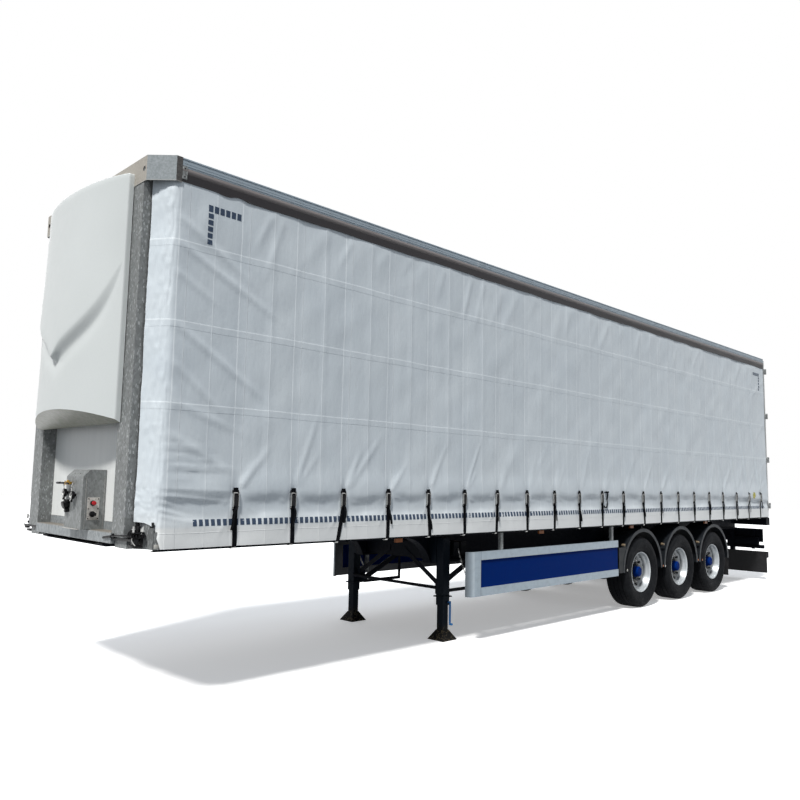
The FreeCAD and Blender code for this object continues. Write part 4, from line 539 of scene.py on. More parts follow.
class Piece:
    """A mesh in the making. Its points are given from its origin, with Y outwards on its side."""

    def __init__(self, side=1, origin=(0.0, 0.0, 0.0)):
        self.bm = bmesh.new()
        self.side = side
        self.origin = Vector(origin)

    def at(self, point):
        """A point's place in the frame."""
        return self.origin + Vector((point[0], self.side * point[1], point[2]))

    def merge(self, other, matrix):
        """Takes in another bmesh, moved by a matrix, and frees it."""
        other.transform(matrix)
        scratch = bpy.data.meshes.new("scratch")
        other.to_mesh(scratch)
        other.free()
        self.bm.from_mesh(scratch)
        bpy.data.meshes.remove(scratch)

    def block(self, low, high, bevel, turn=0.0):
        """A block between two corners, its edges rounded, turned about its own upright axis."""
        made = bmesh.new()
        ends = self.at(low), self.at(high)
        low, high = Vector(map(min, *ends)), Vector(map(max, *ends))
        middle, size = (low + high) / 2, high - low
        bmesh.ops.create_cube(made, size=1.0, matrix=Matrix.Diagonal((*size, 1.0)))
        bmesh.ops.bevel(made, geom=made.edges, offset=min(bevel, min(size) * 0.45), segments=2,
                        profile=0.5, affect="EDGES", clamp_overlap=True)
        self.merge(made, Matrix.Translation(middle) @ Matrix.Rotation(turn, 4, "Z"))

    def rod(self, start, end, radius, sides=20, bevel=0.0):
        """A round or many-sided bar between two points."""
        made = bmesh.new()
        start, end = self.at(start), self.at(end)
        run = end - start
        aim = run.to_track_quat("Z", "Y").to_matrix().to_4x4()
        bmesh.ops.create_cone(made, cap_ends=True, segments=sides, radius1=radius, radius2=radius,
                              depth=run.length, matrix=Matrix.Translation((0, 0, run.length / 2)))
        if bevel:
            rims = [edge for edge in made.edges if len({round(v.co.z, 6) for v in edge.verts}) == 1]
            bmesh.ops.bevel(made, geom=rims, offset=bevel, segments=2, profile=0.5, affect="EDGES")
        self.merge(made, Matrix.Translation(start) @ aim)

    def join(self, rings, closed=True, joined=False, capped=True):
        """Faces between rings of places. A ring may close on itself, and the last ring may join the first."""
        rows = [[self.bm.verts.new(place) for place in ring] for ring in rings]
        for first, second in list(zip(rows, rows[1:])) + ([(rows[-1], rows[0])] if joined else []):
            for index in range(len(first) if closed else len(first) - 1):
                following = (index + 1) % len(first)
                self.bm.faces.new((first[index], first[following], second[following], second[index]))
        if capped:
            self.bm.faces.new(rows[0][::-1])
            self.bm.faces.new(rows[-1])

    def loft(self, rings, **how):
        """The same between rings of points given from the origin."""
        self.join([[self.at(point) for point in ring] for ring in rings], **how)

    def turned(self, profile, axis="Y", sides=64):
        """A line of (radius, distance) turned about an axis through the origin."""
        rings = []
        for step in range(sides):
            across, up = math.sin(2 * math.pi * step / sides), math.cos(2 * math.pi * step / sides)
            rings.append([(radius * across, along, radius * up) if axis == "Y" else
                          (along, -radius * across, radius * up) for radius, along in profile])
        self.loft(rings, closed=False, joined=True, capped=False)

    def ribbon(self, path, width, thickness, direction=(1.0, 0.0, 0.0)):
        """A flat band that follows a path of points, its width along one direction."""
        path = [self.at(point) for point in path]
        direction = Vector((direction[0], self.side * direction[1], direction[2]))
        rings = []
        for index, place in enumerate(path):
            before, after = path[max(index - 1, 0)], path[min(index + 1, len(path) - 1)]
            along = (after - before).normalized()
            across = (direction - along * direction.dot(along)).normalized()
            out = along.cross(across).normalized()
            rings.append([place + across * (width / 2 * a) + out * (thickness / 2 * b)
                          for a, b in ((-1, -1), (1, -1), (1, 1), (-1, 1))])
        self.join(rings)

    def tube(self, path, radius, sides=10, closed=False):
        """A round wire or pipe that follows a path of points."""
        path = [self.at(point) for point in path]
        count = len(path)
        rings = []
        for index, place in enumerate(path):
            before = path[(index - 1) % count if closed else max(index - 1, 0)]
            after = path[(index + 1) % count if closed else min(index + 1, count - 1)]
            along = (after - before).normalized()
            level = along.cross(Vector((0, 0, 1)))
            level = level.normalized() if level.length > 0.05 else along.cross(Vector((1, 0, 0))).normalized()
            other = level.cross(along)
            rings.append([place + level * (radius * math.cos(a)) + other * (radius * math.sin(a))
                          for a in (2 * math.pi * step / sides for step in range(sides))])
        self.join(rings, joined=closed, capped=not closed)

    def finish(self, name, look, replaces=None, slot=None, body=TRAILER, crease=40.0):
        """Makes the object, smooth with sharp creases, and puts it on its body."""
        bmesh.ops.recalc_face_normals(self.bm, faces=self.bm.faces)
        mesh = bpy.data.meshes.new(name)
        self.bm.to_mesh(mesh)
        self.bm.free()
        mesh.shade_smooth()
        mesh.set_sharp_from_angle(angle=math.radians(crease))
        return dress(name, mesh, look, replaces, body)


def dress(name, mesh, look, replaces, body=TRAILER):
    """An object of this mesh with its look, on its body and in place of a CAD node if it replaces one."""
    made = bpy.data.objects.new(name, mesh)
    bpy.context.scene.collection.objects.link(made)
    mesh.materials.append(LOOKS[look])
    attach(made, body)
    if replaces:
        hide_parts(replaces)
    return made


def move(origin, *pieces):
    """Gives pieces the same origin."""
    for piece in pieces:
        piece.origin = Vector(origin)


# ---------------------------------------------------------------- camera, floor and light

def set_camera():
    """Eye level, off the nearside front corner, looking along the side."""
    yaw, pitch, roll = (math.radians(angle) for angle in (225.19, 6.236, 1.078))
    forward = Vector((math.cos(yaw) * math.cos(pitch), math.sin(yaw) * math.cos(pitch), math.sin(pitch)))
    level = Vector((math.sin(yaw), -math.cos(yaw), 0.0))
    above = level.cross(forward)
    right = level * math.cos(roll) + above * math.sin(roll)
    up = above * math.cos(roll) - level * math.sin(roll)
    data = bpy.data.cameras.new("camera")
    data.sensor_width = 36.0
    data.lens = 33.64
    data.clip_end = 300.0
    camera = bpy.data.objects.new("camera", data)
    turn = Matrix((right, up, -forward)).transposed().to_4x4()
    camera.matrix_world = Matrix.Translation((9.363, 6.839, 1.834)) @ turn
    bpy.context.scene.collection.objects.link(camera)
    bpy.context.scene.camera = camera


def seen_and_lit(tree, seen_shade, lit_shade):
    """Whether the camera, a mirror or clear plastic asks, and the shade that it or the light then gets."""
    path = tree.nodes.new("ShaderNodeLightPath")
    seen = path.outputs["Is Camera Ray"]
    for name in ("Is Glossy Ray", "Is Transmission Ray"):
        node = tree.nodes.new("ShaderNodeMath")
        node.operation = "MAXIMUM"
        tree.links.new(seen, node.inputs[0])
        tree.links.new(path.outputs[name], node.inputs[1])
        seen = node.outputs[0]
    tint = tree.nodes.new("ShaderNodeMix")
    tint.data_type = "RGBA"
    tint.inputs[6].default_value = (*lit_shade, 1.0)
    tint.inputs[7].default_value = (*seen_shade, 1.0)
    tree.links.new(seen, tint.inputs[0])
    return seen, tint.outputs[2]


def set_floor():
    """A plain pale floor that keeps the shadow, dull for the light that it sends back up."""
    half = 60.0
    mesh = bpy.data.meshes.new("floor")
    corners = [(-half, -half, 0), (half, -half, 0), (half, half, 0), (-half, half, 0)]
    mesh.from_pydata(corners, [], [(0, 1, 2, 3)])
    floor = bpy.data.objects.new("floor", mesh)
    bpy.context.scene.collection.objects.link(floor)
    material = bpy.data.materials.new("floor_look")
    material.use_nodes = True
    tree = material.node_tree
    shader = tree.nodes["Principled BSDF"]
    shader.inputs["Roughness"].default_value = 0.9
    shader.inputs["Specular IOR Level"].default_value = 0.0
    seen, shade = seen_and_lit(tree, (0.95, 0.95, 0.95), (0.16, 0.165, 0.17))
    tree.links.new(shade, shader.inputs["Base Color"])
    glow = tree.nodes.new("ShaderNodeMath")
    glow.operation = "MULTIPLY"
    glow.inputs[1].default_value = 0.34
    tree.links.new(seen, glow.inputs[0])
    shader.inputs["Emission Color"].default_value = (1.0, 1.0, 1.0, 1.0)
    tree.links.new(glow.outputs[0], shader.inputs["Emission Strength"])
    mesh.materials.append(material)


def set_world():
    """White behind everything, and an even pale sky for the light itself."""
    world = bpy.data.worlds.new("world")
    world.use_nodes = True
    tree = world.node_tree
    shade = seen_and_lit(tree, (1.0, 1.0, 1.0), (0.29, 0.32, 0.36))[1]
    tree.links.new(shade, tree.nodes["Background"].inputs["Color"])
    bpy.context.scene.world = world


def set_sun(name, towards, strength, spread, tint=EVEN):
    """A broad soft sun whose light comes from this direction."""
    data = bpy.data.lights.new(name, "SUN")
    data.energy = strength
    data.angle = math.radians(spread)
    data.color = tint
    sun = bpy.data.objects.new(name, data)
    sun.rotation_mode = "QUATERNION"
    sun.rotation_quaternion = Vector(towards).to_track_quat("Z", "Y")
    bpy.context.scene.collection.objects.link(sun)


set_camera()
set_floor()
set_world()
set_sun("key_light", (0.55, 0.25, 0.80), 4.0, 7.0, (1.0, 0.985, 0.96))
set_sun("fill_light", (-0.55, -0.70, 0.45), 0.9, 60.0)


# ---------------------------------------------------------------- curtains

HEM = 1.265
# the lower edge at the front corner: raised, a quarter round, then a slope down to the hem
CUT_LEVEL = 1.475
CUT_RADIUS = 0.085
CUT_END = 0.172
CUT_FOOT = 0.207
FOLD_LEVEL = 1.75
BUCKLE_FOOT = 1.564
# the cloth's path in plan, as (station behind the front, y): over the post's nose and round the corner
NOSE = (0.072, 1.066)
CORNER = (0.186, 1.2595)
CORNER_TRIM = 0.05
NOSE_RUN = math.hypot(CORNER[0] - NOSE[0], CORNER[1] - NOSE[1])
NOSE_SLOPE = ((CORNER[0] - NOSE[0]) / NOSE_RUN, (CORNER[1] - NOSE[1]) / NOSE_RUN)
# a developed distance along the cloth, less this, is the station
RUN_AHEAD = NOSE_RUN - CORNER[0]
REAR_STATION = 13.428
VALANCE_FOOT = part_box("roof_valances")[0].z


def plan_place(run):
    """(station, y, outward x, outward y) a developed distance along the cloth from its front edge."""
    run = np.asarray(run, float)
    on_nose = [NOSE[axis] + NOSE_SLOPE[axis] * run for axis in (0, 1)]
    on_side = CORNER[0] + (run - NOSE_RUN), np.full_like(run, CORNER[1])
    share = np.clip((run - NOSE_RUN + CORNER_TRIM) / (2 * CORNER_TRIM), 0.0, 1.0)
    finish = CORNER[0] + CORNER_TRIM, CORNER[1]
    places, ways = [], []
    for axis in (0, 1):
        start = NOSE[axis] + NOSE_SLOPE[axis] * (NOSE_RUN - CORNER_TRIM)
        bend = (1 - share) ** 2 * start + 2 * share * (1 - share) * CORNER[axis] + share ** 2 * finish[axis]
        places.append(np.where(share <= 0, on_nose[axis], np.where(share >= 1, on_side[axis], bend)))
        ways.append((1 - share) * NOSE_SLOPE[axis] + share * (1.0 - axis))
    size = np.hypot(*ways)
    return places[0], places[1], ways[1] / size, ways[0] / size


def waves(run, z, seed, length, count=14):
    """Seeded smooth noise from crossing waves about this long, roughly between -1 and 1."""
    source = np.random.default_rng(seed)
    total = np.zeros_like(run)
    for turn, stretch, phase in source.random((count, 3)):
        angle = turn * math.pi
        rate = 2 * math.pi / (length * (0.6 + 0.9 * stretch))
        total += np.sin((run * math.cos(angle) + z * math.sin(angle)) * rate + phase * 6.283)
    return total / math.sqrt(count) / 1.4


def line_crease(run, z, start, end, width, height, sharp=True):
    """A crease from one place to another, fading towards both ends."""
    along_run, along_z = end[0] - start[0], end[1] - start[1]
    length = math.hypot(along_run, along_z)
    share = ((run - start[0]) * along_run + (z - start[1]) * along_z) / length ** 2
    off = ((run - start[0]) * along_z - (z - start[1]) * along_run) / length
    fade = rise(share, -0.02, 0.12) * (1 - rise(share, 0.45, 1.0))
    return height * fade * (tent(off, width) if sharp else bell(off, width))


def cloth_depth(run, z, seed):
    """How far the cloth stands out of its plane, in metres."""
    between = random.Random(seed).uniform
    run, z = np.asarray(run, float), np.asarray(z, float)
    station = run - RUN_AHEAD
    rear = RUN_AHEAD + 13.43
    depth = 0.0026 * waves(run, z, seed, 1.5) + 0.0011 * waves(run, z, seed + 1, 0.42)

    def crease(start, end, *shape):
        nonlocal depth
        depth = depth + line_crease(run, z, start, end, *shape)

    def ray(start, degrees, reach, *shape):
        slant = math.radians(degrees)
        crease(start, (start[0] + reach * math.cos(slant), start[1] + reach * math.sin(slant)), *shape)

    # straps hold the cloth in, and it stands out between them
    for number, place in enumerate(STRAPS):
        here = place + RUN_AHEAD
        lean = 0.02 * math.sin(number * 2.3)
        depth -= 0.0021 * bell(station - place - lean * (z - 1.7), 0.075) * (1 - 0.3 * rise(z, 2.2, 4.2))
        depth += 0.0016 * tent(station - place - STRAP_PITCH / 2 - 0.012 * math.sin(number * 1.7), 0.055)
        # pinched and drawn down at the buckle, with creases that climb away from it
        depth -= 0.0090 * bell(station - place, 0.045) * bell(z - 1.68, 0.12)
        for reach in (between(0.35, 0.95), between(0.25, 0.6)):
            degrees = between(48.0, 70.0)
            start = (here + between(0.0, 0.05), 1.72 + between(0.0, 0.06))
            ray(start, degrees, reach, between(0.022, 0.05), between(0.0022, 0.0048))
        degrees, reach = between(100.0, 130.0), between(0.15, 0.45)
        ray((here, 1.74), degrees, reach, 0.03, between(0.0012, 0.0028))
        for way in (-1, 1):
            start = (here + way * between(0.05, 0.12), between(1.60, 1.68))
            end = (start[0] + way * between(0.08, 0.22), start[1] - between(-0.05, 0.14))
            crease(start, end, between(0.014, 0.026), between(0.0015, 0.003))
        # short puckers in the skirt beside each strap
        for way in (-1, 1):
            foot = here + way * between(0.10, 0.24)
            crease((here + way * 0.03, 1.56), (foot, 1.30), 0.022, between(0.0015, 0.0035))
    # drawn folds under the roof rail
    folds = 34
    for number in range(folds):
        place = 0.5 + 12.6 * (number + between(0.1, 0.9)) / folds
        degrees, reach = between(50.0, 78.0), between(0.3, 0.9)
        ray((place, 4.26), degrees, -reach, between(0.03, 0.07), between(0.0012, 0.0032), False)
    # pulled from the tensioned front corner, rearwards and down
    for top, fall, reach, height in (
            (4.02, 0.55, 0.95, 0.004), (3.80, 0.62, 1.30, 0.0045), (3.55, 0.30, 0.55, 0.003),
            (3.12, 0.70, 1.15, 0.005), (2.80, 0.55, 0.70, 0.004), (2.62, 0.93, 0.62, 0.006),
            (2.46, 0.30, 0.95, 0.0035), (2.20, 0.36, 0.75, 0.004)):
        crease((NOSE_RUN + 0.01, top), (NOSE_RUN + reach, top - fall), 0.05, height)
    for number in range(11):
        level = 1.53 + number * 0.055 + between(-0.012, 0.012)
        reach = between(0.30, 0.85)
        crease((NOSE_RUN - 0.03, level), (NOSE_RUN + reach, level + between(-0.10, 0.03)), 0.022,
               between(0.0022, 0.0045))
    # the same at the rear, weaker above, and deep where the last straps pull
    for top, fall, reach in ((4.05, 0.5, 0.9), (3.2, 0.6, 0.8), (2.45, 0.5, 0.6), (2.0, 0.3, 0.7)):
        crease((rear, top), (rear - reach, top - fall), 0.05, 0.003)
    for number, spread, height in (
            (17, 0.30, 0.0064), (18, 0.42, 0.008), (19, 0.50, 0.0096), (20, 0.62, 0.0096),
            (20, 0.20, 0.008), (20, -0.14, 0.008)):
        here = STRAPS[number] + RUN_AHEAD
        crease((here, 1.76), (here - spread, 1.76 + abs(spread) * 3.4), 0.045, height)
    for number, top, foot in ((17, 1.74, 1.58), (18, 1.76, 1.53), (19, 1.70, 1.56)):
        crease((STRAPS[number] + RUN_AHEAD, top), (rear + 0.6, foot), 0.055, 0.009, False)
    # crinkled strip round the corner
    strip = 1 - rise(run, NOSE_RUN - 0.03, NOSE_RUN + 0.05)
    crinkle = np.abs(waves(run, z * 1.5, seed + 2, 0.16)) + 0.5 * np.abs(waves(run * 1.2, z, seed + 3, 0.07))
    depth += strip * (0.0021 * crinkle + 0.0012 * waves(run * 3.0, z * 0.35, seed + 4, 0.12) - 0.001)
    # bagging above the buckles, drawn in below them, and flared again at the hem
    between_straps = 0.55 + 0.45 * np.sin((station - STRAPS[0]) / STRAP_PITCH * 2 * math.pi - math.pi / 2)
    above = z + 0.016 * waves(run, 0.6 * z, seed + 7, 0.62) - 1.74
    bag = np.where(above > 0, bell(above, 0.13), 1.0)
    bag = bag - 2 * rise(-above, 0.0, 0.155) + 1.65 * rise(-above, 0.155, 0.315)
    skirt = 0.0085 * bag * rise(run, 0.08, 0.42) + 0.003 * bell(z - 1.27, 0.07)
    depth = 2.1 * (depth + skirt * (0.55 + 0.65 * between_straps))
    # no further out than there is room, least of all under the valance
    out_limit = 0.021 - 0.0185 * rise(z, VALANCE_FOOT - 0.09, VALANCE_FOOT - 0.01)
    in_limit = 0.012
    return np.where(depth > 0, out_limit * np.tanh(depth / out_limit), in_limit * np.tanh(depth / in_limit))


def cloth_point(run, z, side, seed, proud=0.0):
    """Points on the cloth, or this far outside it."""
    station, y, out_x, out_y = plan_place(run)
    depth = cloth_depth(run, z, seed) + proud
    return FRONT - station + out_x * depth, (y + out_y * depth) * side, np.asarray(z, float) + 0 * station


def lower_edge(station):
    """Height of the cloth's lower edge."""
    if station <= CUT_END - CUT_RADIUS:
        return CUT_LEVEL
    if station <= CUT_END:
        return CUT_LEVEL - CUT_RADIUS + math.sqrt(CUT_RADIUS ** 2 - (station - CUT_END + CUT_RADIUS) ** 2)
    if station < CUT_FOOT:
        return HEM + (CUT_LEVEL - CUT_RADIUS - HEM) * (CUT_FOOT - station) / (CUT_FOOT - CUT_END)
    return HEM


def grid_mesh(name, xs, ys, zs, flip):
    """A mesh from whole arrays of coordinates, rows by columns."""
    rows, columns = xs.shape
    mesh = bpy.data.meshes.new(name)
    index = np.arange(rows * columns).reshape(rows, columns)
    quads = np.stack((index[:-1, :-1], index[:-1, 1:], index[1:, 1:], index[1:, :-1]), axis=-1).reshape(-1, 4)
    if flip:
        quads = quads[:, ::-1]
    mesh.from_pydata(np.stack((xs, ys, zs), axis=-1).reshape(-1, 3).tolist(), [], quads.tolist())
    mesh.shade_smooth()
    return mesh


def curtain(side_name, side, seed):
    """One side curtain, creased where the straps, the corner and the roof rail pull at it."""
    length = RUN_AHEAD + REAR_STATION
    edge = RUN_AHEAD + CUT_END
    # closer columns at the nose, along the front third and round the cut
    runs = [*np.arange(0.0, 0.36, 0.012), *np.arange(0.36, 4.5, 0.0175),
            *np.arange(4.5, length, 0.032), length]
    runs += [edge - CUT_RADIUS * (1 - math.sin(math.pi * step / 24)) for step in range(13)]
    runs += [edge + (CUT_FOOT - CUT_END) * step / 4 for step in range(1, 5)]
    runs = np.array(sorted(set(round(run, 5) for run in runs)))
    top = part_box("curtain_left")[1].z
    lows = np.array([lower_edge(station) for station in plan_place(runs)[0]])
    rows = [lows + (FOLD_LEVEL - lows) * share for share in np.linspace(0.0, 1.0, 33)]
    rows += [np.full_like(runs, level) for level in np.linspace(FOLD_LEVEL, top, 99)[1:]]
    xs, ys, zs = cloth_point(np.tile(runs, (len(rows), 1)), np.array(rows), side, seed)
    name = "cloth_" + side_name
    mesh = grid_mesh(name, xs, ys, zs, side > 0)
    cloth = dress(name, mesh, "curtain_pvc", "curtain_" + side_name)


def tape_dashes(side_name, side, seed):
    """The dashed band of reflective tape above the hem, and the two corner marks at the top."""
    piece = Piece()
    pitch, first, last, mark_level = 0.0575, 0.480, 13.14, 4.107
    marks = [(first + pitch * number, 1.439, 0.037, 0.054) for number in range(int((13.30 - first) / pitch))]
    for number in range(6):
        marks += [(first + 0.01 + pitch * number, mark_level, 0.043, 0.060),
                  (last - pitch * number, mark_level, 0.043, 0.060)]
    for number in range(1, 6):
        marks += [(start, mark_level - pitch * number, 0.050, 0.043)
                  for start in (first + 0.01, last - 0.007)]
    for station, z, width, height in marks:
        run = RUN_AHEAD + station
        runs, zs = np.meshgrid(np.linspace(run, run + width, 3), np.linspace(z, z + height, 3))
        rows = np.stack(cloth_point(runs, zs, side, seed, 0.0012), axis=-1)
        piece.join(rows.tolist(), closed=False, capped=False)
    piece.finish("tape_" + side_name, "tape", slot="curtain_pvc")


CLOTH_SEEDS = {1: 41, -1: 67}
for side_name, side in SIDES:
    curtain(side_name, side, CLOTH_SEEDS[side])
    tape_dashes(side_name, side, CLOTH_SEEDS[side])


# ---------------------------------------------------------------- straps, buckles and hooks

# how far each strap's foot is pulled forward of its head, from the front strap on
LEANS = (0.0, 0.0, 0.065, 0.01, -0.02, 0.0, 0.02, 0.0, 0.015, -0.01, 0.0,
         0.02, -0.03, 0.01, 0.0, 0.0, 0.012, 0.0, -0.01, 0.0, 0.015)


def buckle(levers, steel):
    """Back plate, two cheeks with their knobs, rollers, and the black lever folded over them."""
    for start in (-0.0265, 0.0235):
        steel.block((start, 0.0, 0.028), (start + 0.003, 0.021, 0.150), 0.001)
        levers.block((start - 0.002, 0.004, 0.148), (start + 0.011, 0.016, 0.172), 0.003)
    for height, radius in ((0.148, 0.0055), (0.118, 0.0045), (0.018, 0.0050)):
        steel.rod((-0.028, 0.009, height), (0.028, 0.009, height), radius, 12, 0.001)
    for half, back, foot, front, top, bevel in ((0.0260, 0.0, 0.0, 0.0025, 0.158, 0.001),
                                                (0.0235, 0.012, 0.004, 0.0155, 0.040, 0.0012),
                                                (0.0225, 0.012, 0.034, 0.0235, 0.130, 0.004),
                                                (0.0170, 0.019, 0.050, 0.0245, 0.080, 0.003)):
        levers.block((-half, back, foot), (half, front, top), bevel)


def loose_end(tails, source):
    """The doubled end of the webbing, hanging from the lever and turned a little."""
    drift = source.choice((-1, -1, -1, 1)) * source.uniform(0.012, 0.045)
    drop = source.uniform(0.15, 0.27)
    twist = source.uniform(0.20, 0.70)
    wave = source.uniform(-0.02, 0.02)
    path = [(drift * share ** 1.3 + wave * math.sin(share * 5.0), 0.021 + 0.007 * math.sin(share * 3.0),
             0.032 - drop * share) for share in (step / 8 for step in range(9))]
    x, y, z = path[-1]
    back = [(x, y, z), (x + 0.002, y - 0.0035, z - 0.006)]
    back += [(x + 0.004, y - 0.007, z) for x, y, z in path[:1:-1]]
    for line in (path, back):
        tails.ribbon(line, 0.044, 0.0024, (math.cos(twist), math.sin(twist), 0.0))


def straps_and_buckles(side_name, side):
    """Each strap from its stitched top, through a steel buckle, down to the hook under the rave."""
    source = random.Random(CLOTH_SEEDS[side] + 9)
    bands, tails, steel, levers, hooks = (Piece(side) for _ in range(5))
    rave_face = HALF_BODY + 0.004
    rave_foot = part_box("side_raves")[0].z
    levels = np.array([1.30, 1.40, 1.48, 1.61, 1.66, 1.72, 1.76])
    for station, lean in zip(STRAPS, LEANS):
        x = FRONT - station
        places = cloth_point(np.full(levels.shape, RUN_AHEAD + station), levels, side, CLOTH_SEEDS[side])[1]
        hem, low, knee, *behind, top = (float(abs(y)) for y in places)
        face = max(behind) + 0.0015
        # stitched webbing above, and the pulled band below
        bands.ribbon([(x, top + 0.004, 1.757), (x, max(face, top) + 0.004, 1.735), (x, face + 0.006, 1.704)],
                     0.046, 0.0040)
        foot_x = x + lean
        bands.ribbon([(x, face + 0.009, 1.588), (x + lean * 0.25, knee + 0.006, 1.50),
                      (x + lean * 0.55, low + 0.004, 1.41), (x + lean * 0.85, hem + 0.003, 1.31),
                      (foot_x, hem + 0.002, 1.262), (foot_x, rave_face + 0.002, 1.250)], 0.045, 0.0024)
        move((x, side * face, BUCKLE_FOOT), levers, steel, tails)
        buckle(levers, steel)
        loose_end(tails, source)
        # hook: a bent steel strip that grips the foot of the rave
        move((foot_x, side * rave_face, 0.0), hooks)
        hooks.ribbon([(0, 0.0035, 1.278), (0, 0.0035, 1.246), (0, 0.0005, rave_foot - 0.004),
                      (0, -0.016, rave_foot - 0.0055), (0, -0.034, rave_foot - 0.0035)], 0.036, 0.003)
        hooks.rod((-0.026, 0.005, 1.272), (0.026, 0.005, 1.272), 0.0035, 10)
    bands.finish("webbing_" + side_name, "webbing", "curtain_straps")
    tails.finish("webbing_ends_" + side_name, "webbing")
    steel.finish("buckle_frames_" + side_name, "buckle_steel", "curtain_buckles")
    levers.finish("buckle_levers_" + side_name, "fitting_black")
    hooks.finish("rave_hooks_" + side_name, "buckle_steel")


for side_name, side in SIDES:
    straps_and_buckles(side_name, side)


# ---------------------------------------------------------------- front wall

def cabinet_fittings():
    """The air and electric cabinet's shut-off cock, couplings, socket, switch plate, buttons and screws."""
    low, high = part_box("coupling_box")
    pieces = steel, brass, black, red, green, plates = [Piece() for _ in range(6)]
    # shut-off cock with its long handle
    move((high.x, low.y + 0.110, high.z - 0.120), *pieces)
    brass.rod((0, 0, 0), (0.052, 0, 0), 0.0130, 6, 0.001)
    brass.rod((0.030, -0.034, 0), (0.030, 0.034, 0), 0.0135, 20, 0.002)
    brass.rod((0.030, 0, -0.004), (0.030, 0, 0.026), 0.0125, 20, 0.003)
    brass.block((0.040, -0.020, -0.014), (0.054, 0.022, 0.014), 0.003)
    black.block((0.054, -0.175, -0.008), (0.060, -0.016, 0.009), 0.0028)
    black.rod((0.057, -0.180, 0.0), (0.057, -0.100, 0.001), 0.0100, 16, 0.003)
    black.block((0.054, 0.018, -0.010), (0.062, 0.088, 0.006), 0.0028)
    # two brake couplings that hang from short pipes
    for across, drop in ((0.050, 0.205), (0.222, 0.222)):
        move((high.x, low.y + across, high.z - drop), *pieces)
        steel.tube([(0.030, 0.0, 0.105), (0.040, 0.0, 0.075), (0.038, 0.0, 0.030),
                    (0.024, 0.0, 0.012)], 0.0065, 12)
        black.turned([(0.013, 0.0), (0.013, 0.016), (0.034, 0.020), (0.036, 0.030), (0.034, 0.040),
                      (0.027, 0.044), (0.024, 0.038), (0.010, 0.038), (0.0, 0.038)], "X", 40)
        steel.turned([(0.022, 0.0385), (0.0255, 0.0430), (0.0215, 0.0450), (0.0190, 0.0400)], "X", 40)
        steel.tube([(0.046, 0.010, 0.060), (0.050, 0.030, 0.038), (0.050, 0.034, 0.000),
                    (0.048, 0.018, -0.036), (0.046, -0.004, -0.044)], 0.0045, 10)
        black.block((0.028, -0.014, -0.060), (0.044, 0.012, -0.030), 0.004)
    # round electric socket with its lid, and a green cap beside it
    move((high.x, low.y + 0.075, high.z - 0.305), *pieces)
    black.rod((0, 0, 0), (0.040, 0, 0), 0.036, 28, 0.004)
    black.block((0.0, -0.042, 0.020), (0.030, 0.042, 0.044), 0.006)
    black.rod((0.040, 0, -0.004), (0.052, 0, -0.008), 0.033, 28, 0.003)
    black.rod((0.0, 0.012, -0.050), (0.036, 0.012, -0.052), 0.017, 20, 0.003)
    green.rod((0.014, -0.040, -0.002), (0.034, -0.052, -0.004), 0.013, 20, 0.003)
    # pale switch plate on the nearside flank, with a red button over a black one
    move((high.x - 0.150, high.y, low.z + 0.080), *pieces)
    width, height, middle, upper, lower = 0.104, 0.192, 0.058, 0.144, 0.050
    plates.block((0, 0, 0), (width, 0.0030, height), 0.0008)
    for x in (0.010, width - 0.010):
        for z in (0.012, height / 2, height - 0.012):
            black.rod((x, 0.002, z), (x, 0.006, z), 0.0052, 12, 0.001)
    black.rod((middle, 0, upper), (middle, 0.016, upper), 0.023, 28, 0.002)
    red.rod((middle - 0.002, 0.014, upper), (middle - 0.002, 0.036, upper), 0.0185, 28, 0.004)
    black.rod((middle, 0, lower), (middle, 0.014, lower), 0.025, 28, 0.002)
    black.block((middle - 0.030, 0.012, lower - 0.014), (middle + 0.030, 0.026, lower + 0.012), 0.008)
    # folded seams on the flank, foot flange, and the sloping front's two drain holes
    move((0, 0, 0), *pieces)
    for x in (high.x - 0.030, low.x + 0.012):
        plates.block((x, high.y, low.z + 0.004), (x + 0.0025, high.y + 0.0012, high.z - 0.064), 0.0004)
    plates.block((high.x - 0.004, low.y, low.z), (high.x + 0.016, high.y - 0.03, low.z + 0.004), 0.0008)
    move((high.x, low.y, high.z), *pieces)
    slope = Vector((1.0, 0.0, 1.0)).normalized()
    for across in (0.115, 0.230):
        spot = Vector((-0.026, across, -0.034))
        black.rod(spot - slope * 0.004, spot + slope * 0.0006, 0.0065, 16)
    for across in (0.02, 0.34):
        for drop in (0.09, 0.27, 0.44):
            steel.rod((-0.002, across, -drop), (0.002, across, -drop), 0.0048, 10, 0.001)
    steel.finish("cabinet_pipes", "buckle_steel", "coupling_fittings")
    brass.finish("cabinet_cock", "brass", slot="buckle_steel")
    black.finish("cabinet_couplings", "fitting_black")
    red.finish("cabinet_red_button", "red_knob", slot="fitting_black")
    green.finish("cabinet_green_cap", "green_cap", slot="fitting_black")
    plates.finish("cabinet_plates", "pale_plate", slot="galvanised")


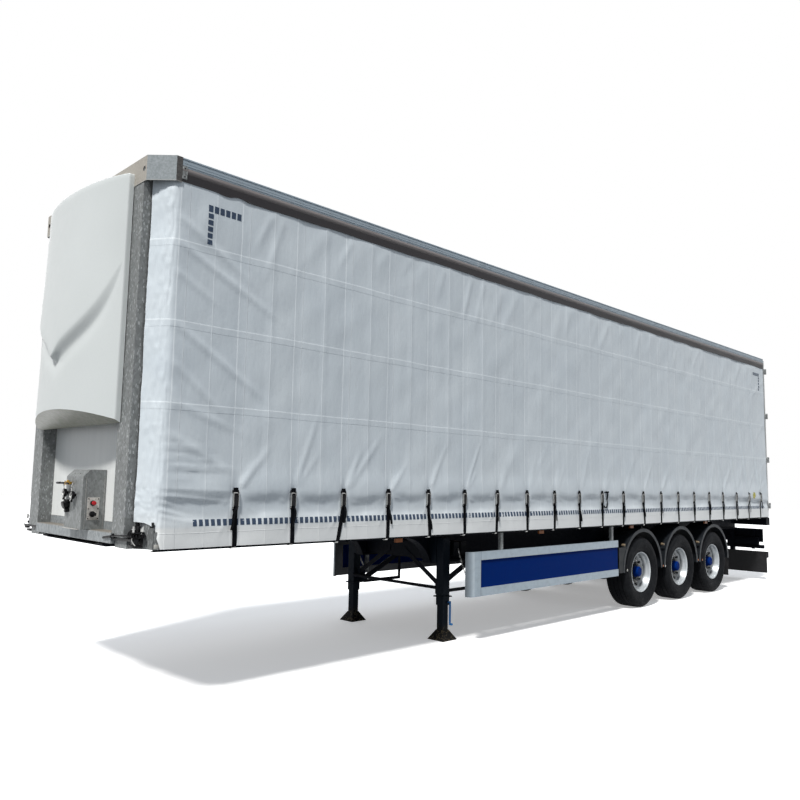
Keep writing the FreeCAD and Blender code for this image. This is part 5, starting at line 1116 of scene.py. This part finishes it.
def corner_details(side_name, side):
    """What shows below the cut of the curtain's front corner: plate, ratchet, pawl, spring and lever."""
    plate, black, steel, tag = (Piece(side) for _ in range(4))
    # a thin plate that follows the post's nose, and two that cover the rave's front end
    plate.loft([[(FRONT - station - out_x * inset, y - out_y * inset, z)
                 for inset, z in ((0.0125, 1.268), (0.0095, 1.268), (0.0095, 1.473), (0.0125, 1.473))]
                for station, y, out_x, out_y in zip(*plan_place(np.linspace(0.085, 0.163, 10)))])
    for rear, inner in ((0.1580, 1.10), (0.2360, HALF_BODY + 0.0004)):
        plate.block((FRONT - rear, inner, 1.262), (FRONT - 0.1545, HALF_BODY + 0.0030, 1.399), 0.0006)
    # a black plate behind, from the post to the rave, standing in for the dark shade there
    low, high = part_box("front_posts")
    black.block((low.x - 0.002, 0.90, 1.264), (low.x + 0.002, 1.243, 1.475), 0.0006)
    # round the tensioner's pole: ratchet wheel, spring, pawl and bracket
    pole_low, pole_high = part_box("curtain_tensioners")
    move((pole_low.x + 0.050, side * (pole_high.y - 0.052), 0.0), black, steel)
    for level in (1.350, 1.388):
        black.rod((0, 0, level), (0, 0, level + 0.010), 0.050, 28, 0.001)
    teeth = 14
    for tooth in range(teeth):
        angle = 2 * math.pi * tooth / teeth
        x, y = 0.052 * math.cos(angle), side * 0.052 * math.sin(angle)
        black.block((x - 0.007, y - 0.005, 1.357), (x + 0.007, y + 0.005, 1.379), 0.0012, angle + 0.35)
    black.tube([(0.016 * math.cos(turn * 0.7), side * 0.016 * math.sin(turn * 0.7), 1.402 + 0.0007 * turn)
                for turn in range(60)], 0.0032, 8)
    black.block((0.030, 0.01, 1.305), (0.062, 0.075, 1.345), 0.004)
    black.block((-0.02, -0.06, 1.278), (0.05, 0.04, 1.300), 0.003)
    steel.rod((0.052, 0.030, 1.398), (0.052, 0.030, 1.446), 0.0085, 14, 0.002)
    steel.rod((0.052, 0.030, 1.418), (0.052, 0.030, 1.428), 0.0135, 6, 0.001)
    steel.tube([(0.07, 0.045, 1.352), (0.078, 0.062, 1.338), (0.074, 0.080, 1.318),
                (0.060, 0.088, 1.300)], 0.0035, 8)
    # the lever that reaches across the foot of the post, on the nearside only
    if side > 0:
        move((high.x, 0.0, 0.0), black)
        bar = [(0.016, 0.715, 1.333), (0.014, 0.86, 1.352), (0.012, 1.00, 1.366), (0.012, 1.125, 1.370),
               (-0.010, 1.175, 1.368)]
        black.tube(bar, 0.0062, 12)
        black.tube(bar[:2], 0.0095, 12)
        black.rod((0.002, 0.885, 1.335), (0.016, 0.885, 1.375), 0.010, 12, 0.002)
    tag.block((FRONT - 0.200, HALF_BODY + 0.0028, 1.270), (FRONT - 0.158, HALF_BODY + 0.0044, 1.304), 0.0006)
    plate.finish("corner_plate_" + side_name, "galvanised")
    black.finish("tensioner_ratchet_" + side_name, "fitting_black")
    steel.finish("tensioner_bolt_" + side_name, "buckle_steel")
    tag.finish("corner_tag_" + side_name, "pale_tag", slot="galvanised")


def header_details(side_name, side):
    """The bolted end plate behind the header, over the front end of rail and valance."""
    low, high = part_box("front_header")
    plate, bolts = Piece(side), Piece(side)
    outer = high.y - 0.0012
    plate.block((low.x - 0.042, outer - 0.03, 4.318), (low.x + 0.002, outer, 4.447), 0.0015)
    plate.block((low.x - 0.046, outer - 0.004, 4.316), (low.x - 0.040, outer + 0.0010, 4.447), 0.0008)
    x = low.x - 0.024
    for level in (4.338, 4.408):
        bolts.rod((x, outer - 0.004, level), (x, outer + 0.0011, level), 0.0075, 6, 0.0005)
    plate.finish("header_end_" + side_name, "galvanised")
    bolts.finish("header_bolts_" + side_name, "fitting_black")


def front_ledge():
    """The folded rail across the foot of the wall: a ledge, and the bolted angle behind it."""
    low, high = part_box("front_rail")
    ledge = low.z + 0.0875
    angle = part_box("front_panel")[1].x + 0.0004
    outline = [(low.x, low.z), (high.x - 0.004, low.z), (high.x, low.z + 0.004), (high.x, ledge - 0.005),
               (high.x - 0.005, ledge), (angle + 0.0034, ledge), (angle + 0.0034, high.z - 0.001),
               (angle, high.z), (angle, ledge - 0.0005), (low.x, ledge - 0.0005)]
    piece = Piece()
    piece.loft([[(x, y, z) for x, z in outline] for y in (low.y, high.y)])
    for number in range(9):
        y = -0.76 + number * 0.19
        piece.rod((angle + 0.003, y, high.z - 0.030), (angle + 0.008, y, high.z - 0.030), 0.0075, 6, 0.001)
    piece.finish("front_ledge", "rail_zinc", "front_rail", "galvanised")


cabinet_fittings()
front_ledge()
for side_name, side in SIDES:
    corner_details(side_name, side)
    header_details(side_name, side)


# ---------------------------------------------------------------- underneath

def under_fittings(side_name, side):
    """Reflectors and stay ends on the mudguards, the lamp carrier at the tail and the chain by the leg."""
    amber, white, ends, carrier, chain = (Piece(side) for _ in range(5))
    for x, z, piece in ((-1.016, 0.590, white), (-2.173, 0.582, amber), (-2.241, 0.574, white),
                        (-3.473, 0.596, amber), (-3.634, 0.590, amber)):
        piece.rod((x, GUARD_EDGE - 0.004, z), (x, GUARD_EDGE + 0.0005, z), 0.016, 20, 0.001)
    for x, z in ((-0.945, 0.962), (-2.197, 0.922), (-3.503, 0.898)):
        ends.rod((x, 1.20, z), (x, GUARD_EDGE + 0.003, z), 0.019, 20, 0.002)
    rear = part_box("underrun_frame")[0].x
    for inner, outer, foot, top in ((0.42, 1.05, 0.665, 0.835), (0.40, 1.15, 0.618, 0.690)):
        carrier.block((rear + 0.035, inner, foot), (rear + 0.095, outer, top), 0.004)
    for y in (0.50, 0.90):
        carrier.block((rear + 0.040, y, 0.60), (rear + 0.060, y + 0.06, 1.00), 0.003)
    # chain from the leg's brace to the guard, sagging a little, its links turned by turns
    start, finish = Vector((2.47, 0.93, 1.05)), Vector((2.30, 0.93, 0.69))
    along = (finish - start).normalized()
    across = Vector((0, 1, 0))
    links = 16
    for number in range(links):
        share = number / links
        middle = start.lerp(finish, share + 0.5 / links) - Vector((0, 0, 0.02 * math.sin(math.pi * share)))
        wide = across if number % 2 else along.cross(across)
        chain.tube([middle + along * (0.0155 * math.cos(turn)) + wide * (0.0075 * math.sin(turn))
                    for turn in (2 * math.pi * step / 12 for step in range(12))], 0.0028, 6, closed=True)
    amber.finish("side_reflectors_" + side_name, "lamp_plastic")
    white.finish("pale_reflectors_" + side_name, "pale_tag", slot="lamp_plastic")
    ends.finish("stay_ends_" + side_name, "tan_end", slot="chassis_paint")
    carrier.finish("tail_carrier_" + side_name, "chassis_paint")
    chain.finish("leg_chain_" + side_name, "buckle_steel")


def skin(x, z, proud):
    """Y of the nearside cloth, or this far outside it."""
    run = np.array([FRONT - x + RUN_AHEAD])
    return float(cloth_point(run, np.array([z]), 1, CLOTH_SEEDS[1], proud)[1][0])


def cloth_fittings():
    """The nearside's black hanging loop by one buckle, and the small yellow tag by the last straps."""
    loop, tag = Piece(), Piece()
    outline = [(-0.330, 1.735), (-0.360, 1.742), (-0.392, 1.730), (-0.402, 1.700), (-0.408, 1.640),
               (-0.408, 1.570), (-0.400, 1.535), (-0.380, 1.520), (-0.350, 1.524), (-0.320, 1.545)]
    loop.tube([(x, max(skin(x, z, 0.012), 1.268), z) for x, z in outline], 0.0092, 10)
    loop.block((-0.425, skin(-0.40, 1.74, 0.002), 1.728), (-0.355, skin(-0.40, 1.74, 0.018), 1.752), 0.003)
    # three by three squares without two corners, leaning with the cloth
    for column in range(3):
        for row in range(3):
            corners = [(-5.950 - 0.045 * (column + share_x) + 0.010 * row,
                        1.640 + 0.042 * (row + share_z) - 0.006 * column)
                       for share_x, share_z in ((0, 0), (0.96, 0), (0.96, 0.96), (0, 0.96))]
            if (column, row) not in ((0, 2), (2, 0)):
                tag.loft([[(x, skin(x, z, proud), z) for x, z in corners] for proud in (0.002, 0.0035)])
    loop.finish("hanging_loop", "webbing")
    tag.finish("yellow_tag", "yellow_tag", slot="curtain_pvc")


for side_name, side in SIDES:
    under_fittings(side_name, side)
cloth_fittings()


# ---------------------------------------------------------------- air deflector

VEE_TIP = 2.82
VEE_RAISE = 0.050
DEFLECTOR_SIDE = 0.046
DEFLECTOR_EDGE = 0.014
DEFLECTOR_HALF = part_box("air_deflector")[1].y
LIP_SLOPE = 0.553


def vee_line(y):
    """Height of the shield's lower outline: a shallow V whose arms steepen towards the sides."""
    return VEE_TIP + 0.47 * abs(y) + 0.85 * abs(y) ** 5.5


def ledge_height(y):
    """Height over which the shield's ledge rises: less at the tip of the V and at the sides."""
    return max(0.135 * (1 - (abs(y) / DEFLECTOR_HALF) ** 14) * (0.5 + 0.5 * rise(abs(y), 0.0, 0.16)), 0.002)


def deflector_skin():
    """The moulded deflector: bowed in plan, fuller at the foot, its shield on a broad swept ledge."""
    low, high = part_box("air_deflector")
    back, half, top = low.x, DEFLECTOR_HALF, high.z
    limit = half - DEFLECTOR_EDGE

    def surface(y, z):
        depth = 0.17 + 0.08 * (top - z) / (top - low.z)
        sagitta = depth - DEFLECTOR_SIDE
        radius = (half * half + sagitta * sagitta) / (2 * sagitta)
        bowed = back + depth - radius + math.sqrt(radius * radius - y * y)
        foot = vee_line(y)
        share = rise(z, foot, foot + ledge_height(y))
        fade = 1 - min(abs(y) / limit, 1.0) ** 5
        upper = 1 - 0.5 * rise(z, VEE_TIP, top)
        hollow = 0.013 * bell(z - foot, 0.09) * (1 - share) * fade
        return bowed + share * VEE_RAISE * fade * upper - hollow

    ys = [half * math.sin(math.pi / 2 * step / 70) for step in range(70, -71, -1)]
    columns = []
    for y in [limit] + [y for y in ys if abs(y) < limit - 0.004] + [-limit]:
        foot, height = vee_line(y), ledge_height(y)
        # the underside slopes up from the wall, so the lip's level follows from its own depth
        lip = low.z + 0.06
        for _ in range(4):
            lip = low.z + LIP_SLOPE * (surface(y, lip) - back)
        levels = ([lip + (foot - lip) * step / 24 for step in range(24)]
                  + [foot + height * step / 10 for step in range(10)]
                  + [foot + height + (top - 0.012 - foot - height) * step / 26 for step in range(27)])
        columns.append([(surface(y, z), y, z) for z in levels])
    # flat flanks from the wall, then a rounded edge round to the front
    flat, bend = 3, 4
    for way in (1, -1):
        edge_column = columns[0] if way > 0 else columns[-1]
        start = back + DEFLECTOR_SIDE - DEFLECTOR_EDGE
        added = []
        for number in range(flat + bend):
            turn = max(number - flat, 0) / bend
            column = []
            for x, y, z in edge_column:
                if number < flat:
                    column.append((back + (start - back) * number / flat, half * way, z))
                else:
                    shares = (1 - turn) ** 2, 2 * turn * (1 - turn), turn ** 2
                    column.append((shares[0] * start + (shares[1] + shares[2]) * x,
                                   (shares[0] + shares[1]) * half * way + shares[2] * y, z))
            x, y, _ = column[0]
            column[0] = (x, y, low.z + LIP_SLOPE * (x - back))
            added.append(column)
        columns = added + columns if way > 0 else columns + added[::-1]
    # the rounded upper rim, then the caps that close the moulding
    for column in columns:
        x, y, z = column[-1]
        away = Vector((0.0, math.copysign(1.0, y)))
        if x > back + 1e-6:
            away = Vector((x - back, y * 0.25)).normalized()
        for inward, lift in ((0.0035, 0.0085), (0.012, 0.012)):
            column.append((max(x - away.x * inward, back), y - away.y * inward, z + lift))
    piece = Piece()
    rows = [[piece.bm.verts.new(point) for point in column] for column in columns]
    for first, second in zip(rows, rows[1:]):
        for index in range(len(first) - 1):
            piece.bm.faces.new((first[index], second[index], second[index + 1], first[index + 1]))
    for cap in ([row[-1] for row in rows], [row[0] for row in reversed(rows)], rows[0][::-1] + rows[-1]):
        piece.bm.faces.new(cap)
    piece.finish("deflector_skin", "white_grp", "air_deflector", crease=50.0)


deflector_skin()


# ---------------------------------------------------------------- roof

def valance(side_name, side):
    """The rubber strip over the curtain's head: a bowed crown and a skirt whose edge hangs a little wavy."""
    low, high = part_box("roof_valances")
    head, crown_foot, dip, steps = high.z, high.z - VALANCE_CROWN, 0.66, 400
    root, face, inner = high.y - 0.007, high.y - 0.0085, high.y - 0.0115
    piece = Piece(side)
    rings = []
    for step in range(steps + 1):
        x = high.x + (low.x - high.x) * step / steps
        station = FRONT - x
        wave = (0.0035 * math.sin(station * 4.1) + 0.0025 * math.sin(station * 9.7 + 1.0)
                - 0.014 * bell(station - dip, 0.08) + 0.013 * bell(station - dip - 0.13, 0.06))
        foot = low.z + wave * rise(step, 0, 6) * rise(steps - step, 0, 6)
        profile = [(inner, head), (root, head)]
        profile += [(root + 0.007 * math.sin(math.pi * turn / 8), head - VALANCE_CROWN * turn / 8)
                    for turn in range(1, 8)]
        profile += [(root, crown_foot), (face, crown_foot - 0.002), (face, (head + foot) / 2),
                    (face, foot + 0.001), (face - 0.001, foot), (inner, foot), (inner, (head + foot) / 2)]
        rings.append([(x, y, z) for y, z in profile])
    piece.loft(rings)
    piece.finish("valance_strip_" + side_name, "valance_rubber", "roof_valances")


def roof_cloth():
    """The roof sheet, drawn tight over the bows and slack between them."""
    low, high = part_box("roof_sheet")
    bows = sorted((box_low.x + box_high.x) / 2 for box_low, box_high in solids("roof_bows"))
    lines = [first + (second - first) * step / 12 for first, second in zip([low.x] + bows, bows + [high.x])
             for step in range(12)]
    lines = np.array(sorted(set(lines + [high.x])))
    xs, ys = np.meshgrid(lines, np.linspace(low.y, high.y, 61))
    nearest = np.min(np.abs(lines[:, None] - np.array(bows)[None, :]), axis=1)
    slack = np.clip(nearest / 0.30, 0.0, 1.0)[None, :] ** 1.5
    across = 1 - np.abs(ys / high.y) ** 6
    sag = slack * across * (0.014 + 0.006 * waves(xs, ys, 5, 1.4)) + 0.0012 * waves(xs, ys, 6, 0.22) * across
    zs = high.z - 0.0004 - np.clip(sag, 0.0, 0.03)
    mesh = grid_mesh("roof_cloth", xs, ys, zs, False)
    cloth = dress("roof_cloth", mesh, "curtain_pvc", "roof_sheet")


for side_name, side in SIDES:
    valance(side_name, side)
roof_cloth()


# ---------------------------------------------------------------- wheels

# half profiles as (radius, distance outwards from the wheel's middle)
TYRE_WALL = [(0.287, 0.112), (0.296, 0.128), (0.306, 0.146), (0.318, 0.157), (0.324, 0.1575),
             (0.327, 0.163), (0.338, 0.169), (0.350, 0.1745), (0.353, 0.1725), (0.357, 0.1755),
             (0.372, 0.1805), (0.390, 0.1845), (0.393, 0.1825), (0.397, 0.1855), (0.412, 0.1878),
             (0.430, 0.1885), (0.433, 0.1865), (0.437, 0.1880), (0.452, 0.1860), (0.455, 0.1830),
             (0.462, 0.1825), (0.470, 0.1800), (0.482, 0.1740), (0.486, 0.1752), (0.500, 0.1660),
             (0.512, 0.1560), (0.5235, 0.1440), (0.5265, 0.1240)]
RIM = [(0.2865, 0.1335), (0.300, 0.1375), (0.3035, 0.1430), (0.3015, 0.1500), (0.2950, 0.1520),
       (0.2895, 0.1485), (0.2865, 0.1420), (0.2830, 0.1180), (0.2785, 0.1040), (0.2700, 0.0900),
       (0.2590, 0.0700), (0.2560, 0.0200), (0.2560, -0.0350), (0.2640, -0.0600), (0.2790, -0.0900),
       (0.2830, -0.1180), (0.2865, -0.1480), (0.2950, -0.1530), (0.3035, -0.1440), (0.2990, -0.1370),
       (0.2865, -0.1335), (0.2865, -0.1150), (0.2700, -0.0500), (0.2600, -0.0300), (0.2600, 0.0650),
       (0.2700, 0.0880), (0.2865, 0.1150), (0.2865, 0.1335)]
DISC_INNER = [(0.145, -0.004), (0.140, 0.002), (0.132, 0.004), (0.100, 0.004), (0.098, -0.012)]
DRUM = [(0.060, 0.000), (0.118, 0.000), (0.124, -0.006), (0.130, -0.020), (0.170, -0.030),
        (0.206, -0.034), (0.212, -0.042), (0.212, -0.190), (0.205, -0.198), (0.120, -0.198),
        (0.110, -0.16), (0.041, -0.16)]
HUB = [(0.060, 0.0), (0.118, 0.001), (0.1175, 0.030), (0.110, 0.044), (0.094, 0.050), (0.090, 0.058),
       (0.060, 0.060), (0.0, 0.060)]
CAP = [(0.060, 0.055), (0.0835, 0.055), (0.0845, 0.059), (0.0825, 0.063), (0.0775, 0.064),
       (0.0770, 0.104), (0.0755, 0.113), (0.0700, 0.120), (0.0610, 0.1245), (0.0440, 0.1270),
       (0.0405, 0.1255), (0.0380, 0.1255), (0.0365, 0.1275), (0.0, 0.1280)]


def round_place(radius, angle, across):
    """A point round the wheel's axle, the angle taken forward from the top."""
    return radius * math.sin(angle), across, radius * math.cos(angle)


def tyre_tread(piece):
    """A ribbed trailer tyre: bead, ringed sidewall, notched shoulder and five grooved ribs."""
    half = list(TYRE_WALL)
    for groove in (0.100, 0.034):
        half += [(0.5285, groove + 0.0065), (0.5165, groove + 0.0045), (0.5165, groove - 0.0045),
                 (0.5290, groove - 0.0065)]
    middle = [(0.5295, 0.004), (0.5240, 0.0025), (0.5240, -0.0025), (0.5295, -0.004)]
    profile = half + middle + [(radius, -across) for radius, across in reversed(half)]
    rings, steps = [], 168
    for step in range(steps):
        ring = []
        for radius, across in profile:
            if 0.505 < radius < 0.5275 and abs(across) > 0.118 and step % 3 == 0:
                radius -= 0.0065
            elif radius > 0.526 and step % 2 == 0:
                radius -= 0.0012
            ring.append(round_place(radius, 2 * math.pi * step / steps, across))
        rings.append(ring)
    piece.loft(rings, closed=False, joined=True, capped=False)


def wheel_disc(piece):
    """A dished steel disc with round hand holes, its patches bent round each hole."""
    inner, outer, depth, thick = 0.145, 0.256, -0.004, 0.010
    holes, hole_radius, hole_at, around = 10, 0.021, 0.212, 16
    half = math.pi / holes
    for sector in range(holes):
        centre = half * (2 * sector + 1)
        rings = [[] for _ in range(5)]
        for step in range(around):
            turn = 2 * math.pi * (step + 0.5) / around
            away, along = math.cos(turn), math.sin(turn)
            stretch = 1.0 / max(abs(away), abs(along))
            near = (hole_at + hole_radius * away, centre + hole_radius * along / hole_at)
            far = (hole_at + (outer - hole_at if away > 0 else hole_at - inner) * away * stretch,
                   centre + half * along * stretch)
            # the wall of the hole, its edge, and three steps out to the sector's border
            for ring, share, behind in zip(rings, (0, 0, 1 / 3, 2 / 3, 1), (thick, 0, 0, 0, 0)):
                radius, angle = (a + (b - a) * share for a, b in zip(near, far))
                ring.append(round_place(radius, angle, depth - behind + 0.055 * rise(radius, 0.17, 0.262)))
        piece.loft(rings, capped=False)


def wheel(name, side):
    """Tyre, rim barrel, disc with hand holes, nuts and valve, brake drum, hub and blue cap."""
    low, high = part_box("tyre_" + name)
    tyre, steel, nuts, drum, cap, valve = (Piece(side, (low + high) / 2) for _ in range(6))
    tyre_tread(tyre)
    steel.turned(RIM, sides=96)
    wheel_disc(steel)
    steel.turned(DISC_INNER)
    for number in range(10):
        angle = 2 * math.pi * (number + 0.5) / 10
        for start, end, radius, sides, bevel in (
                (0.000, 0.006, 0.0245, 20, 0.001), (0.004, 0.030, 0.0185, 6, 0.0015),
                (0.028, 0.046, 0.0105, 12, 0.001)):
            nuts.rod(round_place(0.1675, angle, start), round_place(0.1675, angle, end), radius, sides, bevel)
    drum.turned(DRUM)
    drum.turned(HUB)
    cap.turned(CAP, sides=48)
    for number in range(6):
        angle = math.pi / 3 * number
        cap.rod(round_place(0.060, angle, 0.118), round_place(0.060, angle, 0.128), 0.0052, 6)
    valve.tube([(0.205, 0.060, 0.148), (0.200, 0.090, 0.144), (0.186, 0.118, 0.134)], 0.0045, 8)
    body = "wheel_" + name
    tyre.finish("tread_" + name, "tyre_rubber", "tyre_" + name, body=body, crease=32.0)
    steel.finish("rim_shell_" + name, "rim_silver", "rim_" + name, body=body, crease=35.0)
    nuts.finish("wheel_nuts_" + name, "buckle_steel", body=body)
    drum.finish("hub_" + name, "chassis_paint", body=body)
    cap.finish("hub_cap_" + name, "cap_blue", slot="blue_panel", body=body)
    valve.finish("valve_" + name, "buckle_steel", body=body)


for number in (1, 2, 3):
    for side_name, side in SIDES:
        wheel("%s_%d" % (side_name, number), side)


# ---------------------------------------------------------------- the end

bpy.context.view_layer.update()
